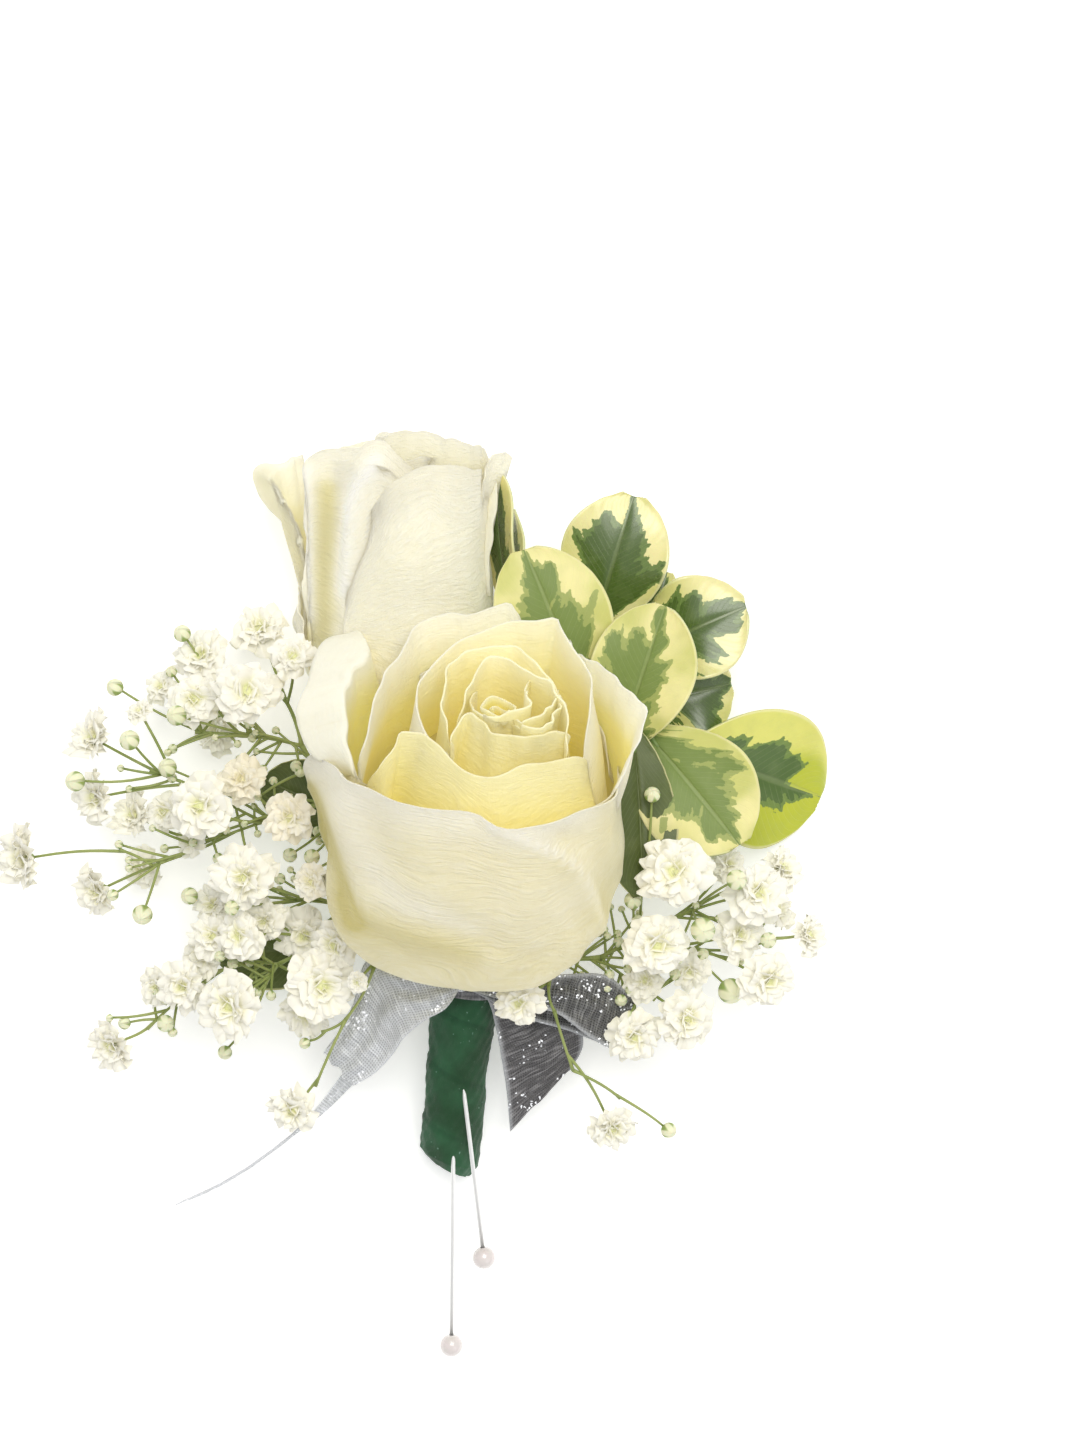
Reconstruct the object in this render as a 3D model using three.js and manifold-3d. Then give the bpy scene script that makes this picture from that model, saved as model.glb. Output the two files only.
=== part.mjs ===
// A boutonniere that lies on a table: two cream roses, variegated leaves, baby's breath,
// a silver ribbon bow, a taped stem and two pearl-headed pins. Millimetres, +Z up.
// The object is laid out round the place where the stems are tied; at the end the whole group
// moves so that its origin is the centre of the bottom of its bounding box.
import * as THREE from "three";
import Module from "manifold-3d";

const wasm = await Module();
wasm.setup();
const { Manifold } = wasm;

const PETAL = 0.7; // thickness of a petal
const BLADE = 0.65; // thickness of a leaf
const RIBBON = 0.6; // thickness of the ribbon
const FLOOR = 0; // height of the table

const vec = (x, y, z) => new THREE.Vector3(x, y, z);
const mix = (a, b, t) => a + (b - a) * t;
const rad = THREE.MathUtils.degToRad;
const smooth = (x, lo, hi) => THREE.MathUtils.smoothstep(x, lo, hi);

// A seeded draw in 0 to 1.
function makeDraw(seed) {
  let state = seed;
  return () => {
    state = (state * 1664525 + 1013904223) % 4294967296;
    return state / 4294967296;
  };
}

// A closed solid from points and triangles, turned to face out.
function solid(points, triangles) {
  const vertProperties = new Float32Array(points.flatMap((p) => [p.x, p.y, p.z]));
  const build = (list) =>
    new Manifold(
      new wasm.Mesh({ numProp: 3, vertProperties, triVerts: new Uint32Array(list.flat()) }),
    );
  const made = build(triangles);
  return made.volume() > 0 ? made : build(triangles.map(([a, b, c]) => [a, c, b]));
}

// Joins solids and keeps the largest body, which drops sealed voids and scraps.
function fuse(list) {
  const bodies = Manifold.union(list).simplify(0.05).decompose();
  return bodies.reduce((best, b) => (b.volume() > best.volume() ? b : best));
}

// A thin closed sheet from a surface at(i, j), thickened against its normal.
// Both faces are triangulated alike.
function sheet(at, nu, nv, thickness) {
  const grid = [];
  for (let j = 0; j <= nv; j++) for (let i = 0; i <= nu; i++) grid.push(at(i / nu, j / nv));
  const id = (i, j) => j * (nu + 1) + i;
  const back = grid.map((p, n) => {
    const i = n % (nu + 1);
    const j = Math.floor(n / (nu + 1));
    const across = grid[id(Math.min(i + 1, nu), j)].clone().sub(grid[id(Math.max(i - 1, 0), j)]);
    const along = grid[id(i, Math.min(j + 1, nv))].clone().sub(grid[id(i, Math.max(j - 1, 0))]);
    return p.clone().addScaledVector(across.cross(along).normalize(), thickness);
  });
  const shift = grid.length;
  const faces = [];
  for (let j = 0; j < nv; j++)
    for (let i = 0; i < nu; i++) {
      const [a, b, c, d] = [id(i, j), id(i + 1, j), id(i + 1, j + 1), id(i, j + 1)];
      faces.push([a, c, b], [a, d, c]);
      faces.push([a + shift, b + shift, c + shift], [a + shift, c + shift, d + shift]);
    }
  const rim = [];
  for (let i = 0; i < nu; i++) rim.push(id(i, 0));
  for (let j = 0; j < nv; j++) rim.push(id(nu, j));
  for (let i = nu; i > 0; i--) rim.push(id(i, nv));
  for (let j = nv; j > 0; j--) rim.push(id(0, j));
  rim.forEach((a, n) => {
    const b = rim[(n + 1) % rim.length];
    faces.push([a, b, b + shift], [a, b + shift, a + shift]);
  });
  return solid([...grid, ...back], faces);
}

// A round tube along points, with its own radius at each point and flat ends.
function tube(path, radii, sides = 6) {
  const points = [];
  const faces = [];
  const first = path[1].clone().sub(path[0]).normalize();
  let side = Math.abs(first.z) < 0.8 ? vec(0, 0, 1) : vec(1, 0, 0);
  path.forEach((p, k) => {
    const ahead = path[Math.min(k + 1, path.length - 1)];
    const behind = path[Math.max(k - 1, 0)];
    const along = ahead.clone().sub(behind).normalize();
    side = side.clone().addScaledVector(along, -side.dot(along)).normalize();
    const other = along.clone().cross(side);
    for (let n = 0; n < sides; n++) {
      const angle = (2 * Math.PI * n) / sides;
      points.push(
        p
          .clone()
          .addScaledVector(side, radii[k] * Math.cos(angle))
          .addScaledVector(other, radii[k] * Math.sin(angle)),
      );
    }
  });
  for (let k = 0; k + 1 < path.length; k++)
    for (let n = 0; n < sides; n++) {
      const a = k * sides + n;
      const b = k * sides + ((n + 1) % sides);
      faces.push([a, b, b + sides], [a, b + sides, a + sides]);
    }
  const last = (path.length - 1) * sides;
  for (let n = 1; n + 1 < sides; n++) {
    faces.push([0, n + 1, n]);
    faces.push([last, last + n, last + n + 1]);
  }
  return solid(points, faces);
}

// A smooth run of points through a few given ones.
const curve = (points, steps) => new THREE.CatmullRomCurve3(points).getPoints(steps);

// A turned solid: rows of [height along the axis, radius], placed in a flower's frame.
function turned(frame, rows, sides) {
  const points = [place(frame, 0, 0, rows[0][0])];
  rows.forEach(([t, r]) => {
    for (let n = 0; n < sides; n++) points.push(place(frame, (360 * n) / sides, r, t));
  });
  points.push(place(frame, 0, 0, rows[rows.length - 1][0]));
  const faces = [];
  const end = points.length - 1;
  for (let n = 0; n < sides; n++) {
    const m = (n + 1) % sides;
    faces.push([0, 1 + m, 1 + n]);
    faces.push([end, end - sides + n, end - sides + m]);
    for (let k = 0; k + 1 < rows.length; k++) {
      const [a, b] = [1 + k * sides + n, 1 + k * sides + m];
      faces.push([a, b, b + sides], [a, b + sides, a + sides]);
    }
  }
  return solid(points, faces);
}

// A flower's frame: base, axis, front (towards the viewer above) and right.
function flowerFrame(base, axis) {
  const a = axis.clone().normalize();
  const front = vec(0, -a.z, a.y);
  front.addScaledVector(a, -front.dot(a)).normalize();
  const right = a.clone().cross(front);
  return { base, a, front, right };
}

// The point at an angle (0 right, 90 front, 180 left), a radius and a height of a flower.
function place(frame, angle, r, t) {
  return frame.base
    .clone()
    .addScaledVector(frame.a, t)
    .addScaledVector(frame.right, r * Math.cos(rad(angle)))
    .addScaledVector(frame.front, r * Math.sin(rad(angle)));
}

// Roses. A petal stands on the bowl of the flower. Columns: angle it faces, half of the angle it
// wraps, height, radius of the bowl, radius at the rim, how far the edge on the smaller and on the
// larger angle stands out, drop of the contour at those two edges, curl of the lip, ruffle,
// place and length of a pointed tip, and shift of its centre to the right and the front.
const FRONT_PETALS = [
  [118, 78, 42.5, 20.6, 18.3, 8.0, 1.0, 0.55, 0.3, 0.8, 0.2, 0.0, 0.0, 0, 0],
  [38, 62, 39.5, 19.9, 22.6, 0.0, -3.6, 0.25, 0.2, 0.8, 0.2, 0.0, 0.0, 0, 0],
  [-8, 52, 42.5, 18.9, 20.4, 0.0, 0.0, 0.25, 0.3, 3.8, 0.2, 0.2, 0.9, 0, 0],
  [-95, 56, 36.0, 20.2, 20.4, 0.0, 0.0, 0.2, 0.2, 0.6, 0.2, 0.0, 0.0, 0, 0],
  [184, 50, 44.8, 18.4, 17.0, 0.0, 0.0, 0.25, 0.25, 6.4, 0.4, 0.8, 1.2, 0, 0],
  [-125, 66, 44.0, 16.9, 14.6, -1.5, 6.4, 0.22, 0.2, 1.2, 0.2, 0.7, 1.4, 0, 0],
  [-32, 75, 45.0, 16.2, 16.2, -5.0, 1.5, 0.2, 0.3, 0.8, 0.2, -0.33, 1.8, 0, 0],
  [100, 70, 43.5, 15.4, 12.9, 2.2, -3.0, 0.2, 0.2, 0.4, 0.1, 0.0, 0.0, 1.5, 0.5],
  [-128, 78, 46.0, 11.8, 11.5, 0.0, 0.0, 0.15, 0.2, 0.4, 0.1, 0.0, 0.0, 4.5, -1],
  [-8, 70, 44.6, 11.0, 10.2, 0.0, 0.0, 0.15, 0.2, 0.4, 0.1, 0.0, 0.0, 4.5, -1],
  [85, 78, 44.3, 10.0, 8.7, -0.6, 0.0, 0.15, 0.15, 0.3, 0.1, 0.0, 0.0, 4.5, -1],
  [190, 75, 45.8, 9.0, 8.6, 0.0, 0.0, 0.15, 0.15, 0.3, 0.1, 0.0, 0.0, 4.5, -1],
  [-60, 80, 45.8, 7.8, 7.4, 0.0, 0.0, 0.15, 0.15, 0.3, 0.1, 0.0, 0.0, 4.5, -1],
  [50, 80, 44.9, 6.6, 6.1, 0.0, 0.0, 0.12, 0.15, 0.3, 0.1, 0.0, 0.0, 4.5, -1],
  [175, 85, 45.7, 5.3, 4.8, 0.0, 0.0, 0.12, 0.12, 0.2, 0.0, 0.0, 0.0, 4.5, -1],
];

const REAR_PETALS = [
  [55, 75, 39.5, 13.1, 13.2, 0.0, 0.0, 0.12, 0.53, 0.7, 0.1, 0.0, 0.0, 0, 0],
  [125, 60, 41.4, 12.1, 12.0, 0.0, 0.0, 0.1, 0.14, 0.4, 0.1, 0.0, 0.0, 0, 0],
  [196, 36, 38.6, 12.9, 13.6, 0.0, 0.0, 0.2, 0.2, 6.0, 0.2, 0.1, 0.8, 0, 0],
  [192, 34, 22.0, 14.0, 14.2, 0.0, 0.0, 0.35, 0.35, 0.3, 0.0, 0.0, 0.0, 0, 0],
  [-18, 44, 39.2, 12.1, 12.2, 0.0, 0.0, 0.3, 0.3, 2.6, 0.2, 0.1, 1.2, 0, 0],
  [-90, 48, 37.5, 13.8, 13.8, 0.0, 0.0, 0.15, 0.15, 0.2, 0.0, 0.0, 0.0, 0, 0],
  [-75, 80, 42.3, 11.0, 10.9, 0.0, 0.0, 0.12, 0.2, 0.8, 0.2, -0.5, 0.9, 0, 0],
  [-150, 60, 41.0, 10.1, 9.8, 0.0, 0.0, 0.2, 0.2, 0.9, 0.2, 0.1, 1.2, 0, 0],
  [30, 80, 41.0, 9.0, 8.2, 0.3, 0.3, 0.15, 0.15, 0.4, 0.1, 0.0, 0.0, 0, 0],
  [190, 85, 41.5, 6.4, 5.6, 0.3, 0.3, 0.15, 0.15, 0.4, 0.1, 0.0, 0.0, 0, 0],
];

const frontRose = flowerFrame(vec(4.0, 6.3, 16.0), vec(-0.045, 0.731, 0.682));
Object.assign(frontRose, { core: 17.6, fill: [30, 15.9], high: 42.5, bud: [3.4, 45.6, 4.5, -1], petals: FRONT_PETALS });
const rearRose = flowerFrame(vec(-8.2, 33.7, 8.5), vec(0.01, 0.987, 0.155));
Object.assign(rearRose, { core: 11.8, fill: [28, 10.6], high: 40, bud: [3.6, 41, 0, 0], petals: REAR_PETALS });
rearRose.pressed = true;

// The bowl of a rose: height and radius at v, a quarter turn from the receptacle to the wall.
function bowlAt(rose, radius, v) {
  const turn = (v / 0.4) * (Math.PI / 2);
  return [
    0.37 * rose.high * (1 - Math.cos(turn)),
    4 + (radius - 4) * Math.sin(turn) ** 1.2,
  ];
}

// The outer face of a petal at u across (-1 to 1) and v up (0 to 1).
// The lower two fifths follow the bowl; above, the wall runs to the rim radius while the contour
// falls towards the edges and the lip curls out.
function petalPoint(rose, row, u, v) {
  const [facing, half, high, bowl, rim, outLow, outHigh, dropLow, dropHigh] = row;
  const [curl, ruffle, tipAt, tip, shiftRight, shiftFront] = row.slice(9);
  const bowlTop = 0.37 * rose.high;
  const spread = half * mix(0.8, 1, smooth(v, 0.1, 0.7));
  const drop = (u < 0 ? dropLow : dropHigh) * Math.abs(u) ** 3;
  const point = tip * Math.exp(-(((u - tipAt) / 0.16) ** 2));
  const lip = Math.max(0, (v - 0.72) / 0.28);
  const grown = mix(Math.min(bowl, rose.core - 0.4), bowl, smooth(v, 0.1, 0.42));
  let [t, r] = bowlAt(rose, grown, Math.min(v, 0.4));
  if (v > 0.4) {
    t = mix(bowlTop, high * (1 - drop) + point, (v - 0.4) / 0.6);
    const share = Math.max(0, (t - bowlTop) / (high - bowlTop));
    r = mix(grown, rim, share ** 1.5) + (u < 0 ? outLow : outHigh) * share * Math.abs(u) ** 1.5;
  }
  t -= 0.32 * curl * lip ** 3;
  r += curl * lip * lip + 0.8 * point * lip;
  r += ruffle * Math.sin(2.3 * Math.PI * u + facing) * smooth(v, 0.5, 1);
  const angle = rad(facing + spread * u);
  const sway = t / high;
  const sideways = r * Math.cos(angle) + shiftRight * sway;
  let forward = r * Math.sin(angle) + shiftFront * sway;
  if (rose.pressed && forward < 0) forward *= Math.min(1, (8.75 + 0.155 * t) / 13.8);
  return rose.base
    .clone()
    .addScaledVector(rose.a, t)
    .addScaledVector(rose.right, sideways)
    .addScaledVector(rose.front, forward);
}

// One petal as a solid. An outer petal grows out of the bowl, an inner one out of its top.
function petal(rose, row) {
  const outer = row[3] > rose.core - 1.5;
  const levels = outer ? [0.14, 0.36, 0.62, 0.85, 1] : [0.62, 0.82, 1];
  const last = levels.length - 1;
  return sheet(
    (i, j) => petalPoint(rose, row, 2 * i - 1, levels[Math.round(j * last)]),
    outer ? 5 : 4,
    last,
    PETAL,
  );
}

// A rose: the closed bowl that the petals grow from, the bud in its middle and the petals.
function bloom(rose) {
  const bowl = [0, 0.1, 0.22, 0.36].map((v) => bowlAt(rose, rose.core, v));
  bowl.push(rose.fill);
  const [wide, tall, right, front] = rose.bud;
  const middle = { ...rose, base: place(rose, 0, right, 0).add(place(rose, 90, front, 0)).sub(rose.base) };
  const bud = turned(
    middle,
    [
      [20, wide],
      [tall - 5, wide],
      [tall, 0.5 * wide],
    ],
    6,
  );
  return fuse([turned(rose, bowl, 10), bud, ...rose.petals.map((row) => petal(rose, row))]);
}

// Everything under the table's surface is cut away, which leaves the pressed petals flat.
const aboveTable = Manifold.cube([400, 400, 200], true).translate([0, 0, 100 + FLOOR]);

const nodes = {};
nodes.rose_front_bloom = bloom(frontRose);
nodes.rose_rear_bloom = fuse([bloom(rearRose).intersect(aboveTable)]);

// The taped stem wrap: an oval section from the top to a rounded, slanted end.
const HANDLE_TOP = vec(1.6, 1.9, 10.9);
const HANDLE_END = vec(-1.2, -26.2, 3.7);
const handle = {
  along: HANDLE_END.clone().sub(HANDLE_TOP).normalize(),
  long: HANDLE_END.distanceTo(HANDLE_TOP),
};
handle.across = vec(1, 0, 0)
  .addScaledVector(handle.along, -handle.along.x)
  .normalize();
handle.up = handle.across.clone().cross(handle.along).negate().normalize();
if (handle.up.z < 0) handle.up.negate();

// A place in the wrap: distance down from the top, offset across and offset up.
function handlePoint(down, across, up) {
  return HANDLE_TOP.clone()
    .addScaledVector(handle.along, down)
    .addScaledVector(handle.across, across)
    .addScaledVector(handle.up, up);
}

// Rows of the wrap: distance down, half width, half depth, slant of the section.
const WRAP_ROWS = [
  [0, 4.8, 4.5, 0],
  [6, 4.8, 4.4, 0],
  [12, 4.3, 4.2, 0],
  [18, 4.2, 4.2, 0],
  [24, 4.3, 4.2, 0.3],
  [27.6, 4.2, 4.1, 1.0],
  [28.9, 3.3, 3.3, 1.3],
];

function wrapSolid() {
  const sides = 12;
  const points = [];
  const faces = [];
  WRAP_ROWS.forEach(([down, wide, deep, slant]) => {
    for (let n = 0; n < sides; n++) {
      const angle = (2 * Math.PI * n) / sides;
      const across = wide * Math.cos(angle);
      points.push(handlePoint(down + (slant * across) / wide, across, deep * Math.sin(angle)));
    }
  });
  const last = (WRAP_ROWS.length - 1) * sides;
  for (let n = 0; n < sides; n++) {
    const m = (n + 1) % sides;
    for (let k = 0; k + 1 < WRAP_ROWS.length; k++) {
      const [a, b] = [k * sides + n, k * sides + m];
      faces.push([a, b, b + sides], [a, b + sides, a + sides]);
    }
    if (n > 0 && n + 1 < sides) {
      faces.push([0, m, n]);
      faces.push([last, last + n, last + m]);
    }
  }
  return solid(points, faces);
}

// Where each stem goes into the wrap: offset across, offset up, radius of the stem.
const SOCKETS = {
  front: [1.4, 1.2, 1.3],
  rear: [-1.6, -0.6, 1.2],
  leafUpper: [2.6, -1.9, 0.7],
  leafLower: [0.4, -2.9, 0.7],
  leafLeft: [-1.9, -3.1, 0.6],
  gypUpper: [-3.4, 1.0, 0.45],
  gypLower: [-1.9, 2.6, 0.45],
  gypRight: [3.8, -0.3, 0.45],
};
const SOCKET_DEEP = 6;
const SOCKET_PLAY = 0.3;

function socketHole([across, up, r]) {
  const wide = r + SOCKET_PLAY;
  return tube(
    [handlePoint(-1, across, up), handlePoint(SOCKET_DEEP, across, up)],
    [wide, wide],
    6,
  );
}

// The inner end, the mouth and a point just outside of a stem's socket.
function socketPath([across, up]) {
  return [
    handlePoint(SOCKET_DEEP - 0.4, across, up),
    handlePoint(0, across, up),
    handlePoint(-0.8, across, up),
  ];
}

// Pins: head centre, entry into the tape, point of the pin.
const PINS = [
  { head: vec(-0.7, -51.4, 6.0), enter: vec(-0.4, -24.3, 8.2), deep: 10 },
  { head: vec(3.9, -38.9, 7.6), enter: vec(1.1, -15.3, 10.4), deep: 11.5 },
];
const PIN_R = 0.35;
const PEARL_R = 1.6;
const PIN_PLAY = 0.25;

PINS.forEach((pin, n) => {
  const along = pin.enter.clone().sub(pin.head).normalize();
  const tip = pin.enter.clone().addScaledVector(along, pin.deep);
  const cone = tip.clone().addScaledVector(along, -1.6);
  const foot = pin.head.clone().addScaledVector(along, -0.2);
  const mouth = pin.head.clone().addScaledVector(along, PEARL_R + 1);
  const bottom = pin.head.clone().addScaledVector(along, -0.5);
  pin.hole = tube(
    [pin.enter.clone().addScaledVector(along, -8), tip.clone().addScaledVector(along, 0.4)],
    [PIN_R + PIN_PLAY, PIN_R + PIN_PLAY],
    6,
  );
  nodes[`pin_${n + 1}_shaft`] = tube([foot, cone, tip], [PIN_R, PIN_R, 0.12], 6);
  nodes[`pin_${n + 1}_pearl`] = Manifold.sphere(PEARL_R, 12)
    .translate(pin.head.toArray())
    .subtract(tube([mouth, bottom], [PIN_R + PIN_PLAY, PIN_R + PIN_PLAY], 6));
});

nodes.stem_wrap = fuse([
  wrapSolid().subtract(
    Manifold.union([...Object.values(SOCKETS).map(socketHole), ...PINS.map((pin) => pin.hole)]),
  ),
]);

// A rose's green part: the hip under the flower, five sepals and the stem to the wrap.
function calyx(rose, socket, path, sepals) {
  const hip = turned(
    rose,
    [
      [-0.4, 3.2],
      [-1.6, 3.6],
      [-3.4, 2.9],
      [-5.0, socket[2] + 0.3],
    ],
    8,
  );
  const leaves = sepals.map((angle) =>
    sheet(
      (i, j) => {
        const half = 1.7 * Math.sin(Math.PI * mix(0.3, 0.93, j)) ** 0.8;
        return place(rose, angle, mix(2.6, 7.6, j), mix(-1.5, -0.9, j)).add(
          place(rose, angle + 90, (2 * i - 1) * half, 0).sub(rose.base),
        );
      },
      2,
      2,
      0.6,
    ),
  );
  const points = [place(rose, 0, 0, -4.4), ...path, ...socketPath(socket).reverse()];
  const run = curve(points, 6);
  const stem = tube(
    run,
    run.map((p, n) => (n < 2 ? socket[2] + 0.2 : socket[2])),
    5,
  );
  return fuse([hip, stem, ...leaves]);
}

nodes.rose_front_calyx = calyx(frontRose, SOCKETS.front, [], [20, 92, 164, 236, 308]);
nodes.rose_rear_calyx = calyx(
  rearRose,
  SOCKETS.rear,
  [vec(-8.0, 24, 6.4), vec(-5.5, 12, 7.4), vec(-1.5, 5.5, 9.3)],
  [18, 90, 162, 234, 306],
);

// Leaves. Rows: base, tip, half width, lift of the middle, roll about the midrib in degrees,
// cupping of the blade, wave of the edge and its phase.
const LEAF_UPPER = [
  [[19.5, 49.5, 11.5], [24.9, 68.0, 15], 7.7, 1.6, 6, 0.8, 0.7, 0.4],
  [[18.2, 38.6, 16.5], [9.6, 60.4, 21.5], 8.2, 1.8, -6, 0.8, 0.6, 1.9],
  [[21.8, 33.8, 17.0], [27.6, 53.2, 22.0], 7.2, 1.6, 8, 0.8, 0.6, 3.1],
  [[25.6, 45.8, 10.5], [40.6, 52.6, 14], 7.4, 1.5, 6, 0.8, 0.8, 2.2],
  [[28.2, 41.0, 7.0], [41.4, 46.0, 6.2], 6.6, 0.8, -8, 0.5, 0.6, 0.9],
  [[9.6, 51.0, 12.0], [7.4, 71.6, 12], 4.6, 0.6, 52, 0.5, 0.4, 1.2],
  [[8.4, 50.0, 7.0], [8.3, 66.5, 7.5], 4.4, 0.4, 66, 0.4, 0.4, 2.6],
];
const LEAF_LOWER = [
  [[33.2, 34.0, 10.5], [52.4, 29.6, 0.2], 8.8, 1.6, -4, 0.9, 0.5, 1.4],
  [[27.0, 34.4, 17.0], [39.6, 20.0, 20.5], 7.6, 1.6, 4, 0.8, 0.6, 2.4],
  [[25.2, 35.0, 10.0], [25.6, 15.4, 13.0], 5.6, 1.0, 14, 0.6, 0.4, 0.6],
];
const LEAF_LEFT = [
  [[-15.0, 5.2, 3.6], [-33.6, 3.4, 0.6], 5.6, 0.9, 0, 0.4, 0.3, 0.8],
  [[-13.6, 22.0, 4.0], [-27.2, 28.4, 3.0], 5.4, 0.9, -4, 0.4, 0.4, 2.0],
];

// A leaf's lower face at i across (0 to 1) and j along (0 to 1).
function leafPoint(row, i, j) {
  const [base, tip, half, lift, roll, cup, wave, phase] = row;
  const start = vec(...base);
  const end = vec(...tip);
  const along = end.clone().sub(start).normalize();
  const flat = vec(along.y, -along.x, 0).normalize();
  const up = flat.clone().cross(along).normalize();
  const side = flat.multiplyScalar(Math.cos(rad(roll))).addScaledVector(up, Math.sin(rad(roll)));
  const out = side.clone().cross(along).normalize();
  const v = mix(0.012, 0.985, j);
  const width = half * Math.sin(Math.PI * v ** 1.25) ** 0.55;
  const u = 2 * i - 1;
  const rise =
    lift * Math.sin(Math.PI * j) +
    cup * u * u * (width / half) +
    wave * Math.abs(u) ** 2 * Math.sin(3 * Math.PI * j + phase + (u > 0 ? 1.7 : 0));
  return start.lerp(end, j).addScaledVector(side, width * u).addScaledVector(out, rise);
}

const leaf = (row) => sheet((i, j) => leafPoint(row, i, j), 4, 5, BLADE);

// A twig through given points; radii run from its start to its end.
function twig(points, from, to, steps = 10) {
  const run = curve(points, steps);
  return tube(
    run,
    run.map((p, n) => mix(from, to, n / (run.length - 1))),
    4,
  );
}

// The stalk of a leaf, from a place on the twig to a little inside the blade.
function stalk(from, row) {
  const [foot, rib] = [0.01, 0.16].map((j) => leafPoint(row, 0.5, j).add(vec(0, 0, 0.1)));
  return tube([vec(...from), foot, rib], [0.6, 0.55, 0.45], 3);
}

function sprig(socket, path, rows, from, radius) {
  const main = twig([...socketPath(socket), ...path.map((p) => vec(...p))], socket[2], radius, 9);
  return fuse([main, ...rows.map(leaf), ...rows.map((row, n) => stalk(from[n], row))]);
}

nodes.leaf_upper = fuse([
  sprig(
    SOCKETS.leafUpper,
    [[8.5, 10, 6.5], [13, 22, 6.5], [17.5, 34, 8.0], [21, 43, 9.5], [20.6, 48.5, 11]],
    LEAF_UPPER,
    [[20.6, 48, 10.8], [18.1, 35.5, 8.4], [17.9, 34.8, 8.2], [21, 43, 9.5], [19.4, 39, 8.9], [12, 40, 9.0], [12, 40, 9.0]],
    0.55,
  ),
  twig([vec(16.6, 31.6, 7.6), vec(13, 37, 8.6), vec(11.6, 41, 9.2)], 0.6, 0.5, 5),
]);
nodes.leaf_lower = sprig(
  SOCKETS.leafLower,
  [[10, 7.5, 4.6], [19, 18, 4.6], [25.5, 28, 6.5], [29, 33, 9.5]],
  LEAF_LOWER,
  [[28.6, 32.6, 9.2], [26.6, 29.6, 7.2], [25.2, 27.6, 6.4]],
  0.55,
);
nodes.leaf_left = sprig(
  SOCKETS.leafLeft,
  [[-4, 4.8, 5.4], [-8, 9, 4.2], [-11.6, 15, 4.0]],
  LEAF_LEFT,
  [[-8, 9, 4.2], [-11.4, 14.6, 4.0]],
  0.5,
);

// Baby's breath. Each spray has forks [parent, x, y, z], flowers [fork, x, y, z, radius] and
// buds in the same form; parent and fork are places in the list, -1 is the end of the socket.
const SPRAY_UPPER = {
  forks: [
    [-1, -9.0, 9.0, 9.6],
    [0, -17.6, 25.6, 12],
    [1, -19.3, 34.7, 12],
    [2, -22.2, 40.2, 12],
    [2, -29.1, 34.7, 13],
    [4, -36.5, 35.1, 12],
    [1, -27.1, 22.5, 12],
    [6, -35.1, 19.7, 13],
    [6, -42.7, 29.8, 15],
    [7, -42.4, 16.4, 13.7],
    [9, -46.8, 18.7, 16],
  ],
  flowers: [
    [3, -27.6, 49.4, 9, 4.0],
    [3, -22.5, 45.5, 21, 3.1],
    [4, -35.4, 45.5, 13, 4.0],
    [4, -28.8, 40.7, 22, 4.4],
    [5, -36.3, 39.6, 17, 3.7],
    [5, -41.3, 41.3, 10, 2.5],
    [4, -33.5, 35.1, 8, 3.2],
    [8, -51.2, 34.0, 13, 3.2],
    [8, -44.1, 37.9, 15, 1.9],
    [8, -50.4, 26.0, 14, 3.1],
    [7, -45.8, 23.9, 9, 2.5],
    [7, -40.6, 23.9, 14, 2.9],
    [6, -34.2, 24.6, 23, 4.2],
    [6, -29.7, 28.5, 18, 3.2],
    [1, -22.8, 23.4, 24, 3.2],
    [10, -60.6, 17.5, 14, 3.8],
    [9, -50.5, 12.7, 12, 2.9],
    [7, -44.1, 16.0, 8, 3.1],
  ],
  buds: [
    [4, -38.1, 48.8, 15, 1.2],
    [5, -47.6, 41.3, 12, 1.2],
    [5, -39.8, 43.5, 12, 0.8],
    [4, -38.6, 37.4, 20, 1.4],
    [8, -45.2, 33.9, 19, 1.4],
    [8, -52.6, 28.3, 20, 1.4],
    [6, -40.0, 30.1, 17, 1.3],
    [7, -33.2, 17.5, 14, 0.8],
    [9, -43.5, 9.8, 18, 1.4],
    [1, -19.9, 17.8, 19, 1.1],
    [1, -23.0, 18.0, 17, 1.0],
  ],
};
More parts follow.
